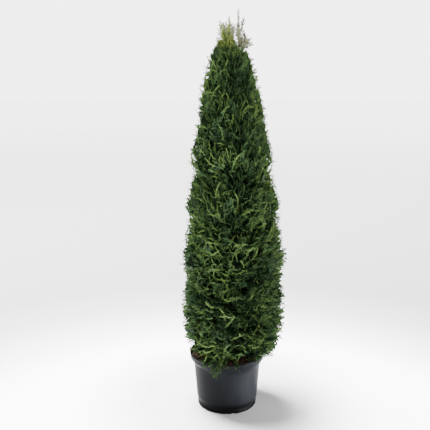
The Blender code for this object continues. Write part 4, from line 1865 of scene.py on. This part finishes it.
# Degrees off the bough, then each fan's root radius and height, and its tip's
FRONT_DRAPE = (
    (-27.0, 0.115, 0.272, 0.166, 0.240),
    (-23.0, 0.115, 0.268, 0.169, 0.226),
    (-19.0, 0.115, 0.270, 0.170, 0.224),
    (-15.0, 0.125, 0.262, 0.170, 0.232),
    (-12.0, 0.150, 0.252, 0.171, 0.206),
    (-8.0, 0.150, 0.250, 0.172, 0.190),
    (-5.0, 0.148, 0.252, 0.172, 0.196),
    (-2.0, 0.140, 0.256, 0.170, 0.216),
    (3.0, 0.120, 0.262, 0.168, 0.230),
    (9.0, 0.120, 0.264, 0.167, 0.232),
    (21.0, 0.122, 0.264, 0.169, 0.234),
    (25.0, 0.130, 0.258, 0.170, 0.227),
)
RIGHT_DRAPE = (
    (-50.0, 0.120, 0.268, 0.160, 0.242),
    (-42.0, 0.115, 0.268, 0.164, 0.238),
    (-32.0, 0.110, 0.270, 0.168, 0.236),
    (-22.0, 0.120, 0.266, 0.176, 0.240),
    (-10.0, 0.130, 0.262, 0.182, 0.226),
    (0.0, 0.130, 0.262, 0.180, 0.236),
    (12.0, 0.120, 0.266, 0.176, 0.244),
)


# Sub-assemblies
Mass = WedgeMass | Tuft | Drape


@dataclass(frozen=True)
class Workshop:
    """What turns growth into pieces: the fans' shapes, the two trees and the materials."""

    book: ShapeBook
    planting: bpy.types.NodeTree
    thickening: bpy.types.NodeTree
    tones: dict[Tone, bpy.types.Material]
    bark: bpy.types.Material


@dataclass
class Crown:
    """The whole crown: its masses, and the pieces that they make."""

    outline: Outline = field(default_factory=Outline)
    boughs: BoughRule = field(default_factory=BoughRule)

    def masses(self) -> list[tuple[str, Mass]]:
        """List every mass that has a bough.

        Returns:
            Each mass, after the part of the crown that it belongs to.
        """
        tones = ToneRule(self.outline)
        found: list[tuple[str, Mass]] = []
        parts = ("skirt", "low", "waist", "middle", "upper", "upper")
        for tier, rule in enumerate(TIERS):
            for wedge in range(rule.wedges):
                bearing = math.radians(rule.bearing + 360.0 * wedge / rule.wedges)
                space = Space(tier, bearing, math.tau / rule.wedges, self.outline)
                name = f"{rule.name}_{wedge + 1}"
                found.append((parts[tier], WedgeMass(name, space, 10 * tier + wedge, tones, self.boughs)))
        found.append(("top", Tuft(tones, self.boughs)))
        front = Drape("drape_front", math.radians(-101.0), FRONT_DRAPE, self.boughs)
        right = Drape("drape_right", math.radians(-6.0), RIGHT_DRAPE, self.boughs)
        return [*found, ("rim", front), ("rim", right)]

    def build(self) -> None:
        """Grow every mass and turn what grew into pieces."""
        growths: dict[str, Growth] = {}
        for part, mass in self.masses():
            mass.grow(growths.setdefault(part, Growth(part)))
        OpenShoots(self.boughs.trunk).grow(growths["top"])
        dark, light = (0.022, 0.015, 0.010), (0.075, 0.050, 0.032)
        shop = Workshop(
            ShapeBook(),
            planting_tree(),
            twig_tree(),
            {tone: tone.value.make() for tone in Tone},
            BarkFinish("twig bark", dark, light, 500.0, 0.0004).make(),
        )
        for growth in growths.values():
            self.plant(growth, shop)
            self.thicken(growth, True, shop)
            self.thicken(growth, False, shop)
        shop.book.clear()

    def plant(self, growth: Growth, shop: Workshop) -> None:
        """Make the pieces of one part's fans, one or more for each tone.

        Args:
            growth: What has grown in the part.
            shop: What makes the pieces.
        """
        kinds = len(shop.book.SHAPES)
        dealt: dict[Tone, list[tuple[Fan, int]]] = {}
        for fan in growth.fans:
            dealt.setdefault(fan.inner, []).append((fan, fan.shape))
            dealt.setdefault(fan.outer, []).append((fan, fan.shape + kinds))
        for tone in Tone:
            share = dealt.get(tone, [])
            triangles = sum(shop.book.triangles[shape] for _, shape in share)
            pieces = 1 + triangles // MOST_TRIANGLES
            for k in range(pieces if share else 0):
                name = f"fans_{growth.name}_{tone.name.lower()}" + (f"_{k + 1}" if pieces > 1 else "")
                inputs = {"Shapes": shop.book.collection, "Finish": shop.tones[tone]}
                points = self.points(name, share[k::pieces])
                grown_piece(points, shop.planting, inputs, growth.nodes)

    @staticmethod
    def points(name: str, fans: Sequence[tuple[Fan, int]]) -> bpy.types.Mesh:
        """Lay out the points that fans are planted on.

        Args:
            name: The piece's name.
            fans: The fans and the numbers of their shapes.

        Returns:
            The points, with each one's turn, size and shape.
        """
        data = bpy.data.meshes.new(name)
        data.from_pydata([tuple(fan.root) for fan, _ in fans], [], [])
        turn = data.attributes.new("turn", "FLOAT_VECTOR", "POINT")
        turn.data.foreach_set("vector", [x for fan, _ in fans for x in fan.turn.to_euler()])
        size = data.attributes.new("size", "FLOAT_VECTOR", "POINT")
        size.data.foreach_set("vector", [x for fan, _ in fans for x in (fan.length, fan.width, fan.length)])
        which = data.attributes.new("shape", "INT", "POINT")
        which.data.foreach_set("value", [shape for _, shape in fans])
        return data

    @staticmethod
    def thicken(growth: Growth, woody: bool, shop: Workshop) -> None:
        """Make one piece of a part's twigs.

        Args:
            growth: What has grown in the part.
            woody: Whether the woody twigs are meant, or the green ones.
            shop: What makes the piece.
        """
        twigs = growth.woody if woody else growth.green
        if not twigs:
            return
        points: list[Row] = []
        edges: list[Face] = []
        thick: list[float] = []
        for twig in twigs:
            first = len(points)
            points.extend(tuple(point) for point in twig.points)
            thick.extend(twig.radii)
            edges.extend((first + i, first + i + 1) for i in range(len(twig.points) - 1))
        data = bpy.data.meshes.new(f"twigs_{growth.name}_{'woody' if woody else 'green'}")
        data.from_pydata(points, edges, [])
        data.attributes.new("thick", "FLOAT", "POINT").data.foreach_set("value", thick)
        inputs = {"Sides": 5 if woody else 3, "Finish": shop.bark if woody else shop.tones[Tone.DEEP]}
        grown_piece(data, shop.thickening, inputs, growth.nodes)


@dataclass
class Limbs:
    """The trunk and boughs, with the relief of their bark."""

    crown: Crown
    trunk_skin: BarkTube = BarkTube(28, 0.006, 0.0009, 0.05)
    bough_skin: BarkTube = BarkTube(12, 0.004, 0.0004)
    dark: Row = (0.050, 0.028, 0.018)
    light: Row = (0.190, 0.120, 0.080)

    def build(self) -> None:
        """Build the trunk and the boughs as two pieces."""
        finish = BarkFinish("fibrous bark", self.dark, self.light, 230.0, 0.0012).make()
        stations = self.crown.boughs.trunk.stations()
        points = [Vector((right, back, height)) for height, right, back, _ in stations]
        radii = [radius for _, _, _, radius in stations]
        trunk = as_object("trunk_bark", self.trunk_skin.mesh(points, radii, 3.0), finish, smooth=True)
        as_piece(trunk, ["trunk"])
        boughs = [(mass.name, mass.bough()) for _, mass in self.crown.masses()]
        skins = [self.bough_skin.mesh(*route, seed=5.0 * i) for i, (_, route) in enumerate(boughs)]
        limbs = as_object("bough_bark", joined(skins), finish, smooth=True)
        as_piece(limbs, [f"bough_{name}" for name, _ in boughs])


@dataclass
class Pot:
    """The nursery pot: a turned wall with a rounded lip, a stepped foot and moulded notches."""

    height: float = 0.235
    rim_radius: float = 0.160
    lip_height: float = 0.022
    lip_slope: float = 0.022
    lip_draft: float = 0.0015
    body_radius: float = 0.142
    base_radius: float = 0.1275
    foot_height: float = 0.038
    foot_step: float = 0.0025
    edge_round: float = 0.007
    wall: float = 0.0028
    floor: float = 0.004
    steps: int = 216
    notches: int = 6
    notch_bearing: float = math.radians(-79.0)
    notch_half: float = 0.008
    notch_lift: float = 0.0030
    notch_from: float = 0.108
    notch_top: float = 0.004
    lip_edge: tuple[Row, ...] = ((0.0, 0.0050), (0.0006, 0.0062), (0.0008, 0.0075))
    lip_foot: tuple[Row, ...] = ((0.0, 0.0012), (0.0006, 0.0002), (0.0018, -0.0006))
    body_heights: Row = (0.180, 0.165, 0.150, 0.135, 0.120, 0.105, 0.090, 0.075, 0.060, 0.048)

    def profile(self) -> list[Row]:
        """Draw the wall's section.

        Returns:
            Radii and heights from the inside floor, over the rim, to the underside.
        """
        lip_low = self.height - self.lip_height
        body_top = lip_low - self.lip_slope
        inner_base = self.base_radius - self.wall
        rounded = self.edge_round
        inside = [(0.0, self.floor), (inner_base - rounded, self.floor)]
        inside += self.arc((inner_base - rounded, self.floor + rounded), rounded, -90, 0, 6)
        drafted = self.rim_radius - self.lip_draft
        inside += self.eased((self.body_radius - self.wall, body_top), (drafted - self.wall, lip_low))
        rim_middle = self.rim_radius - self.wall / 2
        bead = self.wall / 2
        inside.append((rim_middle - bead, self.height - bead))
        rim = self.arc((rim_middle, self.height - bead), bead, 180, 0, 10)
        skirt = [(self.rim_radius - inward, self.height - down) for inward, down in self.lip_edge]
        skirt += [(drafted - inward, lip_low + up) for inward, up in self.lip_foot]
        slope = self.eased((drafted - 0.0022, lip_low - 0.0014), (self.body_radius, body_top))
        heights = (*self.body_heights, self.foot_height + 0.0012)
        body = [(self.body_at(height), height) for height in heights]
        step_in = self.base_radius + 0.0002
        foot = [
            (self.body_at(self.foot_height) - 0.0004, self.foot_height),
            (step_in + 0.0010, self.foot_height - self.foot_step + 0.0010),
            (step_in, self.foot_height - self.foot_step - 0.0006),
            (self.base_radius - 0.0005, 0.020),
            (self.base_radius - 0.0010, self.edge_round),
        ]
        edge = self.arc((self.base_radius - rounded - 0.0010, rounded), rounded, 0, -90, 7)
        under = [(self.base_radius - 0.020, 0.0), (0.0, 0.0)]
        return inside + rim + skirt + slope + body + foot + edge + under

    def body_at(self, height: float) -> float:
        """Find the body's outer radius.

        Args:
            height: The height.

        Returns:
            The radius there.
        """
        body_top = self.height - self.lip_height - self.lip_slope
        foot_radius = self.base_radius + self.foot_step
        share = (height - self.foot_height) / (body_top - self.foot_height)
        return foot_radius + share * (self.body_radius - foot_radius)

    @staticmethod
    def arc(middle: Row, radius: float, start: float, end: float, count: int) -> list[Row]:
        """Points round part of a circle, with angles in degrees."""
        turns = [math.radians(start + (end - start) * i / count) for i in range(count + 1)]
        return [(middle[0] + radius * math.cos(t), middle[1] + radius * math.sin(t)) for t in turns]

    @staticmethod
    def eased(start: Row, end: Row) -> list[Row]:
        """Draw a slope that eases in and out.

        Args:
            start: Its start.
            end: Its end.

        Returns:
            Its points.
        """
        points = []
        for i in range(9):
            t = i / 8
            ease = t * t * (3 - 2 * t)
            share = 0.55 * ease + 0.45 * t
            points.append((start[0] + (end[0] - start[0]) * share, start[1] + (end[1] - start[1]) * t))
        return points

    def build(self) -> None:
        """Turn the profile, mould the notches and dress the pot."""
        profile = self.profile()
        corners: list[Vector] = []
        rings = profile[1:-1]
        for radius, height in rings:
            for k in range(self.steps):
                turn = math.tau * k / self.steps
                corners.append(self.moulded(radius, height, turn))
        faces = ring_faces(len(rings), self.steps, flip=True)
        first, last = len(corners), len(corners) + 1
        corners += [Vector((0.0, 0.0, profile[0][1])), Vector((0.0, 0.0, profile[-1][1]))]
        end = (len(rings) - 1) * self.steps
        for k in range(self.steps):
            after = (k + 1) % self.steps
            faces.append((first, k, after))
            faces.append((last, end + after, end + k))
        pot = as_object("pot_shell", (corners, faces), PotFinish().make(), smooth=True)
        as_piece(pot, ["pot"])

    def moulded(self, radius: float, height: float, turn: float) -> Vector:
        """Place a point of the wall, pushed up where a notch is moulded into the foot's edge.

        Args:
            radius: Its radius.
            height: Its height.
            turn: Its turn round the pot.

        Returns:
            The point.
        """
        pitch = math.tau / self.notches
        off = (turn - self.notch_bearing + pitch / 2) % pitch - pitch / 2
        window = max(0.0, 1.0 - (abs(off) * self.base_radius / self.notch_half) ** 4)
        at_edge = height < self.notch_top and self.notch_from < radius < self.base_radius
        lift = self.notch_lift * window if at_edge else 0.0
        return Vector((radius * math.cos(turn), radius * math.sin(turn), height + lift))


@dataclass(frozen=True)
class Chips:
    """One kind of chips: their finish, how densely they lie and how large they are."""

    name: str
    finish: MulchFinish
    spacing: float
    smallest: float
    largest: float
    seed: int
    lumps: bool = False


@dataclass
class Mulch:
    """The soil and the bark chips on it."""

    top: float = 0.2130
    wall_radius: float = 0.1553
    chip_radius: float = 0.136
    rings: int = 44
    steps: int = 150
    density: float = 40000.0
    lift: float = 0.0012
    compost: MulchFinish = MulchFinish("compost", (0.010, 0.006, 0.005), (0.045, 0.024, 0.016), 210.0, 0.002)
    below: tuple[Row, ...] = ((0.1392, 0.190), (0.1240, 0.012), (0.0, 0.0045))
    brown: MulchFinish = MulchFinish("brown bark chip", (0.017, 0.009, 0.006), (0.060, 0.029, 0.018))
    red: MulchFinish = MulchFinish("red bark chip", (0.120, 0.045, 0.024), (0.360, 0.160, 0.090))
    pale: MulchFinish = MulchFinish("pale wood chip", (0.300, 0.200, 0.130), (0.520, 0.380, 0.260))
    dark: MulchFinish = MulchFinish("dark crumb", (0.018, 0.011, 0.008), (0.060, 0.034, 0.022))

    def build(self) -> None:
        """Build the soil's surface, then scatter the chips on it."""
        bed = self.bed(self.wall_radius, closed=True)
        as_piece(as_object("soil_bed", bed, self.compost.make(), smooth=True), ["soil"])
        slabs, lumps = self.chip_shapes("chip", 8, 5), self.chip_shapes("crumb", 5, 3)
        tree = scatter_tree()
        kinds = (
            Chips("chips_brown", self.brown, 0.0065, 0.6, 1.25, 11),
            Chips("chips_red", self.red, 0.0095, 0.6, 1.15, 23),
            Chips("chips_pale", self.pale, 0.0180, 0.5, 1.0, 37),
            Chips("crumbs", self.dark, 0.0054, 0.28, 0.6, 41, lumps=True),
        )
        for kind in kinds:
            reach = self.wall_radius - 0.006 if kind.lumps else self.chip_radius
            thing = as_object(kind.name, self.bed(reach, closed=False))
            inputs = {
                "Shapes": lumps if kind.lumps else slabs,
                "Finish": kind.finish.make(),
                "Spacing": kind.spacing,
                "Density": self.density,
                "Smallest": kind.smallest,
                "Largest": kind.largest,
                "Lift": self.lift,
                "Seed": kind.seed,
            }
            give_nodes(thing, tree, inputs)
            as_piece(thing, ["soil"])
        for chip in [*slabs.objects, *lumps.objects]:
            bpy.data.objects.remove(chip, do_unlink=True)

    def bed(self, reach: float, closed: bool) -> Mesh:
        """Build the soil's uneven surface.

        Args:
            reach: How far out it goes.
            closed: Whether it has sides and an underside.

        Returns:
            Its mesh.
        """
        corners = [Vector((0.0, 0.0, self.surface(0.0, 0.0)))]
        faces: list[Face] = []
        for i in range(1, self.rings + 1):
            for k in range(self.steps):
                turn = math.tau * k / self.steps
                x, y = reach * i / self.rings * math.cos(turn), reach * i / self.rings * math.sin(turn)
                corners.append(Vector((x, y, self.surface(x, y))))
        for k in range(self.steps):
            faces.append((0, 1 + k, 1 + (k + 1) % self.steps))
        rings = self.rings
        if closed:
            for radius, height in self.below:
                rings += 1
                for k in range(self.steps):
                    turn = math.tau * k / self.steps
                    corners.append(Vector((radius * math.cos(turn), radius * math.sin(turn), height)))
        return corners, faces + ring_faces(rings, self.steps, first=1, flip=True)

    def surface(self, x: float, y: float) -> float:
        """Find the soil's height.

        Args:
            x: How far right.
            y: How far back.

        Returns:
            The height there.
        """
        spot = Vector((x, y, 0.0))
        lumps = 0.0022 * noise.noise(spot * 34.0) + 0.0012 * noise.noise(spot * 90.0)
        crown = 0.0030 * (1.0 - min(1.0, spot.length / self.wall_radius))
        return self.top + crown + lumps

    @staticmethod
    def chip_shapes(name: str, sides: int, count: int) -> bpy.types.Collection:
        """Build broken slabs of bark, or plainer lumps with fewer sides.

        Args:
            name: What they are called.
            sides: How many sides each has.
            count: How many there are.

        Returns:
            The collection of them.
        """
        made = bpy.data.collections.new(name + " shapes")
        for i in range(count):
            chance = random.Random(200 + i)
            spans = ((0.007, 0.013), (0.0030, 0.0060), (0.0010, 0.0018))
            half = Vector([chance.uniform(*ends) for ends in spans])
            corners: list[Vector] = []
            for level, share in ((-1.0, 0.80), (0.2, 1.0), (1.0, 0.72)):
                for k in range(sides):
                    turn = math.tau * k / sides
                    rough = 1.0 + 0.30 * noise.noise(Vector((math.cos(turn), math.sin(turn), i * 3.0)) * 1.7)
                    x = half.x * math.cos(turn) * share * rough
                    y = half.y * math.sin(turn) * share * rough
                    grain = noise.noise(Vector((x, y, i)) * 300.0)
                    z = half.z * level + 0.10 * x * x / half.x + half.z * 0.5 * grain
                    corners.append(Vector((x, y, z)))
            faces = ring_faces(3, sides)
            faces += [tuple(reversed(range(sides))), tuple(range(2 * sides, 3 * sides))]
            data = bpy.data.meshes.new(f"{name}_{i}")
            data.from_pydata([tuple(corner) for corner in corners], [], faces)
            made.objects.link(bpy.data.objects.new(data.name, data))
        return made


@dataclass(frozen=True)
class Lamp:
    """One lamp: a square panel, or a spot if it has an angle."""

    name: str
    place: Row
    aim: Row
    size: float
    power: float
    angle: float = 0.0

    def hang(self) -> None:
        """Hang the lamp and aim it."""
        data = bpy.data.lights.new(self.name, "SPOT" if self.angle else "AREA")
        data.energy = self.power
        if self.angle:
            data.spot_size = math.radians(self.angle)
            data.spot_blend = 0.5
            data.shadow_soft_size = self.size
        else:
            data.size = self.size
        lamp = bpy.data.objects.new(self.name, data)
        lamp.location = self.place
        lamp.rotation_euler = (Vector(self.aim) - Vector(self.place)).to_track_quat("-Z", "Y").to_euler()
        bpy.context.scene.collection.objects.link(lamp)


@dataclass
class Studio:
    """The camera, the pale floor with its painted light and shade, and the soft lights."""

    place: Row = (-0.052, -2.6, 1.355)
    tilt: float = 0.199
    focal_pixels: float = 641.0
    image_pixels: float = 430.0
    sensor: float = 36.0
    # Painted light and shade on the floor, centred half a metre in front of the pot: greys give it a paler
    # base colour within 1.4 m and a darker one farther out, and glows make it glow, but not within 0.36 m of
    # the pot's middle.
    painted_light_middle: Row = (0.0, -0.5, 0.0)
    floor_glow: float = 6.0
    greys: tuple[Row, ...] = ((1.40, 0.88), (1.75, 0.60), (2.16, 0.47), (20.0, 0.47))
    glows: tuple[Row, ...] = (
        (0.00, 0.80),
        (1.15, 0.74),
        (1.40, 0.12),
        (1.75, 0.00),
        (2.30, 0.00),
        (3.30, 0.10),
        (5.20, 0.27),
        (9.00, 0.50),
        (14.0, 0.64),
        (20.0, 0.73),
    )
    floor_span: Row = (0.36, 0.66)
    floor_radius: float = 60.0
    floor_drop: float = 0.0005
    air: tuple[Row, ...] = ((0.0, 0.80), (0.12, 0.82), (0.19, 0.30), (0.30, 0.04))
    air_strength: float = 6.2
    lamps: tuple[Lamp, ...] = (
        Lamp("key", (-1.5, 1.1, 7.0), (0.0, 0.0, 0.3), 3.0, 3900.0),
        Lamp("front", (0.2, -4.6, 4.0), (0.0, 0.0, 0.5), 2.4, 106.0),
        Lamp("right", (3.0, -0.8, 1.2), (0.0, 0.0, 0.6), 1.6, 30.0),
        Lamp("low spot", (1.5, -0.7, 0.03), (0.0, 0.0, 0.125), 0.05, 1180.0, 11.0),
    )

    def build(self) -> None:
        """Set up the camera, the floor and the lights."""
        self.set_camera()
        self.lay_floor()
        self.hang_lights()

    def set_camera(self) -> None:
        """Put the camera where the photograph was taken from."""
        data = bpy.data.cameras.new("camera")
        data.sensor_width = self.sensor
        data.lens = self.focal_pixels * self.sensor / self.image_pixels
        data.clip_end = 200.0
        camera = bpy.data.objects.new("camera", data)
        camera.location = self.place
        camera.rotation_euler = (math.pi / 2 - self.tilt, 0.0, 0.0)
        bpy.context.scene.collection.objects.link(camera)
        bpy.context.scene.camera = camera

    def lay_floor(self) -> None:
        """Lay a wide pale floor, painted paler round the plant and darker farther out, with painted light: it
        glows round the plant, but not next to the pot, and a little far away.
        """
        material, graph, shader = new_finish("studio floor")
        place = graph.place()
        shifted = graph.add("ShaderNodeVectorMath", {"operation": "SUBTRACT"}, {0: place, 1: self.painted_light_middle})
        length = {"operation": "LENGTH"}
        reach = graph.value("ShaderNodeVectorMath", length, {0: shifted.outputs[0]}, "Value")
        near = graph.value("ShaderNodeVectorMath", length, {0: place}, "Value")
        far = self.glows[-1][0]
        glow = Value(graph, graph.ramp(reach / far, self.stops(self.glows, far)))
        # Painted light: a paler base colour near the plant, darker farther out, and a glow, though the floor
        # is no lamp.
        looks = {
            "Base Color": graph.ramp(reach / far, self.stops(self.greys, far)),
            "Emission Color": glow * graph.share(near, *self.floor_span),
            "Emission Strength": self.floor_glow,
            "Roughness": 0.95,
        }
        graph.feed(shader, looks)
        turns = [math.tau * k / 64 for k in range(64)]
        wide = self.floor_radius
        corners = [Vector((math.cos(turn) * wide, math.sin(turn) * wide, -self.floor_drop)) for turn in turns]
        floor = as_object("studio_floor", (corners, [tuple(range(64))]), material)

    @staticmethod
    def stops(rows: Sequence[Row], far: float) -> tuple[tuple[float, Row], ...]:
        """A table of greys as a ramp's stops, with its reach scaled to one."""
        return tuple((at / far, (grey, grey, grey)) for at, grey in rows)

    def hang_lights(self) -> None:
        """Hang the lamps and set the pale surroundings, brighter behind the plant."""
        world = bpy.data.worlds.new("studio air")
        bpy.context.scene.world = world
        world.use_nodes = True
        graph = Graph(world.node_tree)
        way = graph.add("ShaderNodeTexCoord").outputs["Generated"]
        height = graph.add("ShaderNodeSeparateXYZ", values={0: way}).outputs["Z"]
        glow = graph.ramp(height, self.stops(self.air, 1.0))
        graph.feed(world.node_tree.nodes["Background"], {"Color": glow, "Strength": self.air_strength})
        for lamp in self.lamps:
            lamp.hang()


def main() -> None:
    """Build every sub-assembly in order."""
    logging.basicConfig(level=logging.INFO, format="%(name)s: %(message)s")
    Studio().build()
    crown = Crown()
    Limbs(crown).build()
    Pot().build()
    Mulch().build()
    crown.build()


if __name__ == "__main__":
    main()
